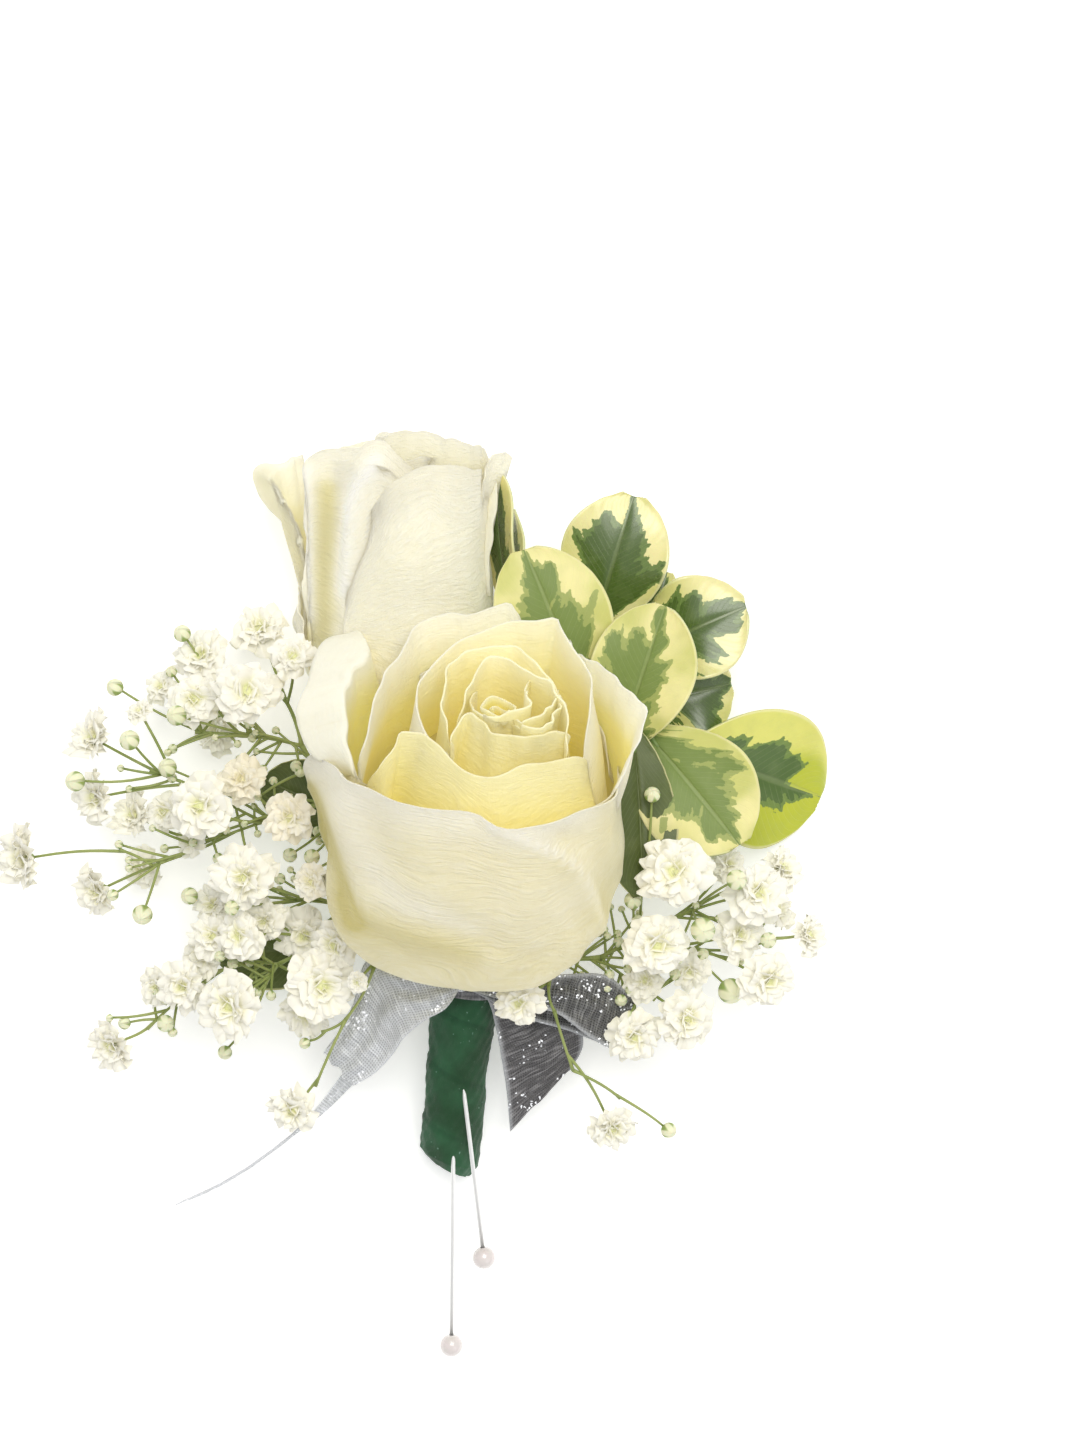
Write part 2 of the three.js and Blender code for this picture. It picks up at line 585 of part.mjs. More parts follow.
const SPRAY_LOWER = {
  forks: [
    [-1, -4.5, 4.9, 13.0],
    [0, -9.0, 7.2, 12.6],
    [1, -16.2, 10.9, 11.5],
    [2, -23.2, 11.6, 12],
    [2, -24.8, 2.6, 14],
    [4, -30.2, 3.2, 12],
    [4, -26.6, -0.2, 15],
    [5, -43.4, -6.6, 9.5],
    [1, -10.4, 6.0, 18.5],
    [8, -11.2, 2.5, 23.5],
    [9, -15.2, -4.8, 21],
    [10, -19.5, -14.2, 17],
    [10, -18.5, -6.6, 19],
  ],
  flowers: [
    [3, -29.1, 14.9, 22, 4.4],
    [3, -33.8, 10.9, 13, 2.9],
    [2, -19.9, 14.3, 22, 2.5],
    [4, -29.9, 6.8, 20, 3.5],
    [5, -35.0, 3.9, 14, 3.3],
    [5, -37.9, -0.3, 16, 3.5],
    [5, -42.3, -0.8, 10, 2.2],
    [6, -31.2, -2.9, 20, 4.6],
    [2, -20.9, 6.8, 15, 4.0],
    [4, -18.6, 0.1, 22, 4.8],
    [7, -49.1, -9.4, 8, 2.9],
    [11, -22.5, -17.5, 16.5, 3.3],
    [9, -13.4, 0.7, 26.5, 1.5],
  ],
  buds: [
    [7, -40.7, -5.7, 12, 1.2],
    [7, -46.4, -5.7, 11, 0.9],
    [6, -32.2, -9.6, 14, 1.0],
    [3, -30.8, 10.8, 24, 1.0],
    [3, -37.1, 11.9, 14, 0.8],
    [12, -20.9, -8.2, 17, 0.8],
  ],
};
const SPRAY_RIGHT = {
  forks: [
    [-1, 9.0, 3.8, 10.4],
    [0, 20.2, 3.4, 11],
    [1, 25.8, 6.7, 13],
    [2, 34.2, 10.9, 14],
    [2, 34.2, 4.6, 12],
    [1, 27.9, -2.4, 12.5],
    [4, 44.6, 6.2, 12],
    [0, 13.2, 4.0, 17.4],
    [7, 13.0, 0.0, 22.0],
    [8, 13.8, -3.6, 21.5],
    [9, 16.4, -12.0, 17],
    [10, 23.0, -16.1, 13],
    [2, 26.2, 15.0, 21],
  ],
  flowers: [
    [3, 30.3, 15.8, 25, 5.3],
    [2, 28.0, 5.6, 22, 4.3],
    [3, 38.0, 16.5, 14, 2.5],
    [3, 41.9, 12.8, 20, 4.2],
    [3, 45.8, 16.0, 10, 2.8],
    [4, 39.4, 6.8, 17, 3.5],
    [6, 44.8, 9.9, 11, 2.8],
    [6, 49.4, 6.7, 12, 2.5],
    [4, 43.4, 0.6, 18, 3.9],
    [5, 32.1, -4.7, 18, 4.0],
    [5, 24.9, -7.2, 16.5, 3.6],
    [5, 26.5, 0.4, 15, 2.8],
    [4, 32.8, 1.8, 14, 2.8],
    [10, 21.9, -20.3, 11, 3.3],
    [8, 8.9, -2.2, 26, 3.2],
  ],
  buds: [
    [3, 34.3, 7.8, 24, 1.7],
    [3, 38.9, 14.7, 25, 1.4],
    [2, 24.7, 11.7, 20, 1.2],
    [4, 38.4, -1.0, 13, 1.8],
    [6, 43.5, 6.2, 20, 1.1],
    [12, 27.3, 26.4, 24.5, 1.1],
    [11, 29.8, -20.8, 9, 1.1],
  ],
};

// The way a flower or bud faces: half along its stalk, half up, and less up on a stalk that hangs.
function facing(from, at) {
  const along = at.clone().sub(from).normalize();
  const lean = 0.62 + 0.8 * Math.max(0, -along.z);
  return along.multiplyScalar(lean).add(vec(0, 0, 0.78)).normalize();
}

// The two ends of a three-sided stalk, from a fork to the underside of a flower or bud.
function stalkEnds(frame, from, turn, foot) {
  const upper = [0, 1, 2].map((k) => place(frame, turn + 120 * k, 0.42, foot));
  const shift = from.clone().sub(place(frame, 0, 0, foot));
  return [...upper.map((p) => p.clone().add(shift)), ...upper];
}

// The triangles of such a stalk, its lower end included, and of the cup that opens from its upper
// end (points 3 to 5) to a ring of so many points that starts at a given one.
function stalkFaces(ring, count) {
  const faces = [[0, 2, 1]];
  for (let k = 0; k < 3; k++) {
    const m = (k + 1) % 3;
    faces.push([k, m, m + 3], [k, m + 3, k + 3]);
  }
  const nearest = (n) => 3 + (Math.round((3 * n) / count) % 3);
  for (let n = 0; n < count; n++) {
    const [low, next] = [nearest(n), nearest(n + 1)];
    faces.push([low, ring + ((n + 1) % count), ring + n]);
    if (low !== next) faces.push([low, next, ring + ((n + 1) % count)]);
  }
  return faces;
}

// A double flower on its stalk: a star of ten petals with a raised middle, and the cup below.
function floret(from, at, axis, radius, turn) {
  const frame = flowerFrame(at, axis);
  const ring = (count, r, t, notch) =>
    Array.from({ length: count }, (_, n) =>
      place(frame, turn + (360 * n) / count, r * (n % 2 ? notch : 1), t),
    );
  const points = [
    ...stalkEnds(frame, from, turn, -0.5 * radius),
    ...ring(10, radius, 0, 0.82),
    ...ring(5, 0.6 * radius, 0.36 * radius, 1),
    place(frame, 0, 0, 0.3 * radius),
  ];
  const faces = stalkFaces(6, 10);
  for (let n = 0; n < 5; n++) {
    const m = (n + 1) % 5;
    const [even, odd, next] = [6 + 2 * n, 7 + 2 * n, 6 + 2 * m];
    faces.push([16 + n, even, odd], [16 + n, odd, 16 + m], [16 + m, odd, next]);
    faces.push([21, 16 + n, 16 + m]);
  }
  return solid(points, faces);
}

// A closed bud of five sides on its stalk.
function bud(from, at, axis, radius) {
  const frame = flowerFrame(at, axis);
  const points = [...stalkEnds(frame, from, 0, -0.9 * radius), place(frame, 0, 0, 1.3 * radius)];
  const faces = stalkFaces(7, 5);
  for (let n = 0; n < 5; n++) {
    points.push(place(frame, 72 * n, 1.1 * radius, 0.1 * radius));
    faces.push([6, 7 + n, 7 + ((n + 1) % 5)]);
  }
  return solid(points, faces);
}

// One spray: stems from fork to fork, then a stalk to each flower and each bud.
function spray(socket, data, seed) {
  const draw = makeDraw(seed);
  const path = socketPath(socket);
  const places = data.forks.map(([, x, y, z]) => vec(x, y, z));
  const at = (n) => (n < 0 ? path[2] : places[n]);
  const thick = (n) => (n < 0 ? socket[2] : Math.max(0.38, 0.46 - 0.02 * n));
  const parts = [tube(path, [socket[2], socket[2], socket[2]], 4)];
  data.forks.forEach(([parent], n) => {
    const along = at(n).clone().sub(at(parent)).normalize();
    const from = at(parent).clone().addScaledVector(along, -0.3);
    const to = at(n).clone().addScaledVector(along, 0.3);
    parts.push(tube([from, to], [thick(parent), thick(n)], 3));
  });
  data.flowers.forEach(([fork, x, y, z, radius]) => {
    const head = vec(x, y, z);
    parts.push(floret(at(fork), head, facing(at(fork), head), radius, 36 * draw()));
  });
  data.buds.forEach(([fork, x, y, z, radius]) => {
    const head = vec(x, y, z);
    parts.push(bud(at(fork), head, facing(at(fork), head), radius));
  });
  return fuse(parts);
}

nodes.gyp_left_upper = spray(SOCKETS.gypUpper, SPRAY_UPPER, 11);
nodes.gyp_left_lower = spray(SOCKETS.gypLower, SPRAY_LOWER, 23);
nodes.gyp_right = spray(SOCKETS.gypRight, SPRAY_RIGHT, 37);

// The ribbon: a band round the wrap, a knot, two loops and two tails. Each strip is swept
// between two edge lines.
const LOOP_LEFT = [
  [[0.4, 1.5, 17.0], [0.6, -0.7, 17.2]],
  [[-3.6, 2.2, 18.2], [-1.3, -3.3, 18.0]],
  [[-8.0, 2.8, 17.8], [-4.6, -5.3, 17.6]],
  [[-12.4, 3.2, 16.8], [-7.2, -7.6, 16.8]],
  [[-14.2, -2.6, 15.4], [-9.0, -10.2, 15.6]],
  [[-16.2, -6.9, 14.4], [-11.4, -12.6, 14.6]],
  [[-18.2, -9.4, 13.4], [-14.0, -14.2, 13.4]],
  [[-18.4, -9.6, 12.0], [-14.2, -14.2, 12.0]],
  [[-16.6, -7.2, 11.4], [-12.0, -12.6, 11.4]],
  [[-12.6, -1.6, 12.2], [-8.6, -8.6, 12.0]],
  [[-7.0, 1.6, 14.2], [-4.8, -2.4, 15.2]],
  [[-0.4, 1.3, 16.2], [0.0, -0.5, 16.4]],
];
const LOOP_RIGHT = [
  [[1.2, 1.5, 17.0], [1.4, -0.7, 17.2]],
  [[5.6, 1.2, 18.0], [5.2, -1.8, 18.0]],
  [[10.6, 1.0, 17.8], [10.2, -3.0, 17.4]],
  [[16.0, 1.4, 16.8], [14.4, -4.2, 16.2]],
  [[20.8, 1.2, 15.2], [18.6, -7.4, 14.8]],
  [[24.0, -1.2, 14.0], [21.8, -9.2, 13.6]],
  [[25.2, -2.2, 12.4], [23.0, -9.0, 12.2]],
  [[23.4, -1.4, 11.4], [20.6, -8.6, 11.4]],
  [[17.0, -0.6, 12.2], [15.4, -6.6, 12.4]],
  [[9.6, 0.0, 14.6], [9.2, -4.6, 15.0]],
  [[1.2, 1.3, 16.2], [1.4, -0.5, 16.4]],
];
const TAIL_RIGHT = [
  [[1.4, -0.6, 16.0], [3.0, 0.9, 16.2]],
  [[4.4, -2.0, 15.0], [8.4, -0.6, 13.6]],
  [[5.8, -6.8, 12.8], [13.4, -3.4, 11.6]],
  [[6.5, -11.1, 11.0], [17.2, -6.2, 10.4]],
  [[7.1, -15.3, 9.0], [17.8, -9.2, 9.0]],
  [[7.5, -20.2, 7.0], [16.0, -12.4, 8.4]],
];
const TAIL_LEFT = [
  [[-0.4, 1.0, 16.0], [-0.6, -0.6, 16.0]],
  [[-5.6, -1.4, 12.2], [-5.4, -4.0, 10.8]],
  [[-11.0, -7.0, 9.8], [-9.4, -9.6, 4.8]],
  [[-15.4, -12.4, 9.6], [-14.0, -14.2, 1.6]],
  [[-18.9, -17.0, 11.2], [-18.2, -18.4, 0.9]],
  [[-21.7, -20.2, 12.0], [-21.1, -20.7, 0.7]],
  [[-25.4, -23.3, 12.4], [-25.0, -23.6, 0.6]],
  [[-29.8, -26.4, 12.4], [-29.4, -26.8, 0.6]],
  [[-34.2, -28.9, 12.2], [-33.6, -29.3, 0.6]],
  [[-39.2, -31.2, 11.8], [-36.6, -30.6, 0.7]],
];

function strip(rows, steps) {
  const edges = [0, 1].map((k) => new THREE.CatmullRomCurve3(rows.map((row) => vec(...row[k]))));
  return sheet((i, j) => edges[0].getPoint(j).lerp(edges[1].getPoint(j), i), 1, steps, RIBBON);
}

function band(from, to, lift, thick) {
  const ring = (grow, longer) => {
    const rows = [from - longer, to + longer].map((down) => {
      const points = [];
      for (let n = 0; n < 12; n++) {
        const angle = (2 * Math.PI * n) / 12;
        points.push(
          handlePoint(down, (4.8 + grow) * Math.cos(angle), (4.5 + grow) * Math.sin(angle)),
        );
      }
      return points;
    });
    const faces = [];
    for (let n = 0; n < 12; n++) {
      const m = (n + 1) % 12;
      faces.push([n, m, m + 12], [n, m + 12, n + 12]);
      if (n > 0 && n + 1 < 12) faces.push([0, m, n], [12, n + 12, m + 12]);
    }
    return solid(rows.flat(), faces);
  };
  return ring(lift + thick, 0).subtract(ring(lift, 1));
}

const knot = Manifold.sphere(1, 8)
  .scale([2.4, 1.5, 1.35])
  .translate([0.8, 0.4, 16.7]);
nodes.ribbon_bow = fuse([
  band(0.7, 3.0, 0.3, 0.7),
  knot,
  strip(LOOP_LEFT, 16),
  strip(LOOP_RIGHT, 15),
  strip(TAIL_RIGHT, 6),
  strip(TAIL_LEFT, 10),
]);

// Each solid becomes a named mesh with flat faces.
const COLOURS = {
  rose: 0xf2edd6,
  calyx: 0x6f8f4a,
  leaf: 0x55804a,
  gyp: 0xf6f4ea,
  stem: 0x1d5a3c,
  ribbon: 0xa9a9b2,
  shaft: 0xb8bcc0,
  pearl: 0xf4efe6,
};

function colourOf(name) {
  const key = Object.keys(COLOURS)
    .reverse()
    .find((word) => name.includes(word));
  return COLOURS[key];
}

const group = new THREE.Group();
group.name = "boutonniere";
for (const [name, made] of Object.entries(nodes)) {
  const mesh = made.getMesh();
  const flat = new Float32Array(mesh.numVert * 3);
  for (let n = 0; n < mesh.numVert; n++)
    flat.set(mesh.vertProperties.subarray(n * mesh.numProp, n * mesh.numProp + 3), n * 3);
  const geometry = new THREE.BufferGeometry();
  geometry.setAttribute("position", new THREE.BufferAttribute(flat, 3));
  geometry.setIndex(new THREE.BufferAttribute(new Uint32Array(mesh.triVerts), 1));
  geometry.computeVertexNormals();
  const part = new THREE.Mesh(
    geometry,
    new THREE.MeshStandardMaterial({ color: colourOf(name), flatShading: true }),
  );
  part.name = name;
  group.add(part);
}

// The group's origin moves to the centre of the bottom of its bounding box.
const box = new THREE.Box3().setFromObject(group);
const middle = box.getCenter(new THREE.Vector3());
group.children.forEach((part) => part.geometry.translate(-middle.x, -middle.y, -box.min.z));

export default group;
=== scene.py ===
"""Looks of a boutonniere that lies on a table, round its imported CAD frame.

Each CAD solid is replaced by finer pieces. The wrap, the pins, the left leaves and the ribbon
have the numbers of the CAD part, but for one corner of a tail. The petals are traced anew from
the photograph. Some leaves, forks and florets were moved, widened or added after the CAD part was
packed, so in places they are several millimetres from its solids, and three leaves and some
florets have no solid. All numbers are millimetres from the place where the stems are tied, and
every mesh is moved from there to the frame and turned into metres.

A rose petal is a bowl that turns into a wall: the lower two fifths run a quarter turn from the
hip to the wall, and above that the radius goes from the bowl's to the rim's while the height
falls towards the two edges and the lip curls out.
A leaf is a flat drop shape along its midrib, lifted in the middle, cupped and waved at its edge.
A floret is rings of small ruffled petals round a green middle. A ribbon strip is swept between
two edge curves.
"""
import math

import bpy
import numpy as np
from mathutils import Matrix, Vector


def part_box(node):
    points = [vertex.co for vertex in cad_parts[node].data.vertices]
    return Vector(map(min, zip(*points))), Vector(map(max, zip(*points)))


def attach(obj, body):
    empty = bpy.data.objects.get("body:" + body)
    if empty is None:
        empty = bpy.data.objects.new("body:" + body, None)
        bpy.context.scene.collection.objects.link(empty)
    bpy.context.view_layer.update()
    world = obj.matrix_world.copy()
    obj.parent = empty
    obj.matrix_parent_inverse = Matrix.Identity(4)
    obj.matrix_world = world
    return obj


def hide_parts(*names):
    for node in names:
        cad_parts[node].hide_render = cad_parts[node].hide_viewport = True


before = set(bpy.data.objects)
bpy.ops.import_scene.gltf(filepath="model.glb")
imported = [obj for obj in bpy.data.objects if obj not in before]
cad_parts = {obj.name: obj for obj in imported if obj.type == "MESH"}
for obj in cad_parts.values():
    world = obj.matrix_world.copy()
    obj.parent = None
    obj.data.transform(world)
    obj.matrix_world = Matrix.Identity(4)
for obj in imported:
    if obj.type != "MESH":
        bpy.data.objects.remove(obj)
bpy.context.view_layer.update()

# The photograph is taken straight down from EYE. It fills 150 by 200 mm on the plane at PLANE_UP
# above the table, where TIE_PIXEL shows the place that all millimetres here are counted from.
PIXELS_PER_MM = 7.2
TIE_PIXEL = np.array([455, 985])
PHOTO_TALL = 200.0
PLANE_UP = 20.0
VIEW_HEIGHT = 900.0
EYE = np.array([11.8, 36.8, PLANE_UP + VIEW_HEIGHT])

# The centre of the first pearl, and the way from there to the same place in the CAD frame.
PEARL_R = 1.6
PEARL_1 = (-0.7, -51.4, 6.0)
low, high = (np.array(corner) * 1000 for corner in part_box("pin_1_pearl"))
SHIFT = np.array([(low[0] + high[0]) / 2, low[1] + PEARL_R, (low[2] + high[2]) / 2]) - PEARL_1


def unit(vectors):
    """Vectors divided by their lengths."""
    return vectors / np.maximum(np.linalg.norm(vectors, axis=-1, keepdims=True), 1e-9)


def smooth(x, lo, hi):
    """0 below lo and 1 above hi, and 3 s squared less 2 s cubed between them."""
    s = np.clip((x - lo) / (hi - lo), 0, 1)
    return s * s * (3 - 2 * s)


def mix(a, b, t):
    """a where t is 0, b where t is 1, and a straight line through both."""
    return a + (b - a) * t


def spline(points, count):
    """Catmull-Rom curve through points, count points along it, evenly over the spans."""
    points = np.asarray(points, float)
    ends = np.vstack([2 * points[0] - points[1], points, 2 * points[-1] - points[-2]])
    t = np.linspace(0, len(points) - 1, count)
    k = np.minimum(t.astype(int), len(points) - 2)
    s = (t - k)[:, None]
    a, b, c, d = ends[k], ends[k + 1], ends[k + 2], ends[k + 3]
    return 0.5 * (
        2 * b + (c - a) * s + (2 * a - 5 * b + 4 * c - d) * s**2 + (3 * b - a - 3 * c + d) * s**3
    )


# Meshes


def part(points, faces, material, **fields):
    """Part of a mesh: points, arrays of faces, a material, and a value at each point by name."""
    faces = faces if isinstance(faces, list) else [faces]
    return {"points": points, "faces": faces, "material": material, "fields": fields}


def add_piece(name, parts, nodes):
    """One object that joins parts, rides on the root body and stands for CAD nodes."""
    mesh = bpy.data.meshes.new(name)
    points = np.concatenate([p["points"] for p in parts]) + SHIFT
    faces = []
    indices = []
    start = 0
    for p in parts:
        if p["material"].name not in mesh.materials:
            mesh.materials.append(p["material"])
        slot_index = mesh.materials.find(p["material"].name)
        for group in p["faces"]:
            faces += (group + start).tolist()
            indices.append(np.full(len(group), slot_index))
        start += len(p["points"])
    mesh.from_pydata((points / 1000).tolist(), [], faces)
    mesh.polygons.foreach_set("material_index", np.concatenate(indices))
    mesh.polygons.foreach_set("use_smooth", np.ones(len(faces), bool))
    for key in sorted({key for p in parts for key in p["fields"]}):
        values = [np.broadcast_to(p["fields"].get(key, 0.0), len(p["points"])) for p in parts]
        layer = mesh.attributes.new(key, "FLOAT", "POINT")
        layer.data.foreach_set("value", np.concatenate(values).astype(np.float32))
    mesh.update()
    piece = bpy.data.objects.new(name, mesh)
    bpy.context.scene.collection.objects.link(piece)
    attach(piece, "root")
    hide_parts(*nodes)
    return piece


def grid_faces(rows, columns, closed=False):
    """Quads from each point of a grid to the next column, on to the next row, and back.

    They face the way of column x row. A closed grid's last column joins its first.
    """
    index = np.arange(rows * columns).reshape(rows, columns)
    if closed:
        index = np.hstack([index, index[:, :1]])
    corners = [index[:-1, :-1], index[:-1, 1:], index[1:, 1:], index[1:, :-1]]
    return np.stack(corners, -1).reshape(-1, 4)


def sheet(grid, thickness, material, **fields):
    """A closed thin sheet: the grid, the same grid moved by the thickness, and quads round the rim.

    The second face lies the way of column x row, and has 1 in the field inner.
    """
    rows, columns = grid.shape[:2]
    normal = unit(np.cross(np.gradient(grid, axis=1), np.gradient(grid, axis=0)))
    other = grid + normal * np.broadcast_to(thickness, (rows, columns))[..., None]
    index = np.arange(rows * columns).reshape(rows, columns)
    shift = rows * columns
    quads = grid_faces(rows, columns)
    rim = np.concatenate([index[0], index[1:, -1], index[-1, -2::-1], index[-2:0:-1, 0]])
    ahead = np.roll(rim, -1)
    edge = np.stack([rim, ahead, ahead + shift, rim + shift], -1)
    points = np.concatenate([grid.reshape(-1, 3), other.reshape(-1, 3)])
    fields = {key: np.tile(np.broadcast_to(f, (rows, columns)).ravel(), 2) for key, f in fields.items()}
    fields["inner"] = np.repeat([0.0, 1.0], shift)
    return part(points, [quads[:, ::-1], quads + shift, edge], material, **fields)


def tube(path, radii, material, sides=8, **fields):
    """A round tube along a path: a ring at each place, and a fan over each end.

    Each ring's first side is the last ring's, less what of it lies along the path.
    """
    path = np.asarray(path, float)
    radii = np.broadcast_to(radii, len(path))
    along = unit(np.gradient(path, axis=0))
    side = np.empty_like(path)
    last = np.array([0.0, 0.0, 1.0]) if abs(along[0, 2]) < 0.8 else np.array([1.0, 0.0, 0.0])
    for k, direction in enumerate(along):
        last = unit(last - direction * (last @ direction))
        side[k] = last
    other = np.cross(along, side)
    turn = 2 * np.pi * np.arange(sides) / sides
    ring = np.cos(turn)[None, :, None] * side[:, None] + np.sin(turn)[None, :, None] * other[:, None]
    points = (path[:, None] + radii[:, None, None] * ring).reshape(-1, 3)
    start = len(points)
    n = np.arange(sides)
    m = (n + 1) % sides
    top = (len(path) - 1) * sides
    first = np.stack([np.full(sides, start), m, n], -1)
    final = np.stack([np.full(sides, start + 1), n + top, m + top], -1)
    fields["along"] = np.append(np.repeat(np.linspace(0, 1, len(path)), sides), [0.0, 1.0])
    faces = [grid_faces(len(path), sides, closed=True), first, final]
    return part(np.vstack([points, path[0], path[-1]]), faces, material, **fields)


def spin(flower, profile, sides, material, press=None, **fields):
    """A turned surface from rows of height along a flower's axis and radius, from the top down."""
    profile = np.asarray(profile, float)
    rows = len(profile)
    up = np.repeat(profile[:, :1], sides, 1)
    turn = np.broadcast_to(2 * np.pi * np.arange(sides) / sides, up.shape)
    right, front = (profile[:, 1:] * f(turn) for f in (np.cos, np.sin))
    if press:
        front = press(front, up)
    points = flower.at(right, front, up).reshape(-1, 3)
    rise = np.repeat((profile[:, 0] - profile[-1, 0]) / np.ptp(profile[:, 0]), sides)
    across = np.tile(np.arange(sides) / sides, rows)
    fields = {"rise": rise, "across": across, **fields}
    return part(points, grid_faces(rows, sides, closed=True), material, **fields)


# Materials


class Value:
    """One output of a node. Arithmetic on it adds a math node."""

    def __init__(self, shader, socket):
        self.shader = shader
        self.socket = socket

    def math(self, operation, *others):
        """The value and the others through one math node."""
        return self.shader.node("ShaderNodeMath", inputs=[self, *others], operation=operation)

    def __add__(self, other):
        return self.math("ADD", other)

    def __sub__(self, other):
        return self.math("SUBTRACT", other)

    def __mul__(self, other):
        return self.math("MULTIPLY", other)

    def __rsub__(self, other):
        return (self * -1) + other

    __radd__ = __add__
    __rmul__ = __mul__

    def step(self, lo, hi):
        """0 below lo and 1 above hi, smooth between them."""
        inputs = {"Value": self, "From Min": lo, "From Max": hi}
        return self.shader.node("ShaderNodeMapRange", inputs, interpolation_type="SMOOTHSTEP")


class Shader:
    """A node material round one Principled shader, whose constants are the settings."""

    def __init__(self, name, **settings):
        self.material = bpy.data.materials.new(name)
        self.material.use_nodes = True
        self.tree = self.material.node_tree
        self.surface = self.tree.nodes["Principled BSDF"]
        for key, value in settings.items():
            self.surface.inputs[key.replace("_", " ")].default_value = value

    def connect(self, socket, value):
        """Gives a socket a Value's output, a colour or a number."""
        if isinstance(value, Value):
            self.tree.links.new(value.socket, socket)
        elif socket.type == "RGBA":
            socket.default_value = (*value, 1)
        else:
            socket.default_value = value

    def node(self, kind, inputs=(), output=0, **settings):
        """A node of any kind with its inputs, by name or in order, as a Value of one output."""
        made = self.tree.nodes.new(kind)
        for key, value in settings.items():
            setattr(made, key, value)
        pairs = inputs.items() if isinstance(inputs, dict) else enumerate(inputs)
        for key, value in pairs:
            self.connect(made.inputs[key], value)
        return Value(self, made.outputs[output])

    def fields(self, names):
        """The mesh's fields of these names."""
        kind = "ShaderNodeAttribute"
        return [self.node(kind, output="Fac", attribute_name=name) for name in names.split()]

    def place(self):
        """Object coordinates, in metres."""
        return self.node("ShaderNodeTexCoord", output="Object")

    def vector(self, x, y):
        """A vector of two values, with 0 as its third."""
        return self.node("ShaderNodeCombineXYZ", [x, y])

    def stretch(self, *scale):
        """Object coordinates, each times its own scale."""
        return self.node("ShaderNodeVectorMath", [self.place(), scale], operation="MULTIPLY")

    def noise(self, scale, detail, roughness=0.5, at=None):
        """Smooth noise from 0 to 1, at Object coordinates where no other place is given."""
        at = at or self.place()
        inputs = {"Vector": at, "Scale": scale, "Detail": detail, "Roughness": roughness}
        return self.node("ShaderNodeTexNoise", inputs)

    def blend(self, factor, a, b):
        """Colour a where the factor is 0, and b where it is 1."""
        return self.node("ShaderNodeMix", {0: factor, 6: a, 7: b}, output=2, data_type="RGBA")

    def over(self, colour, *layers):
        """A colour with layers laid over it in order, each a factor and a colour."""
        for factor, layer in layers:
            colour = self.blend(factor, colour, layer)
        return colour

    def bump(self, height, distance, strength=1.0):
        """Tilts the surface by a height that is counted in distances, in metres."""
        inputs = {"Height": height, "Distance": distance, "Strength": strength}
        self.set(Normal=self.node("ShaderNodeBump", inputs))

    def set(self, **values):
        """Connects values to the Principled shader's sockets."""
        for key, value in values.items():
            self.connect(self.surface.inputs[key.replace("_", " ")], value)


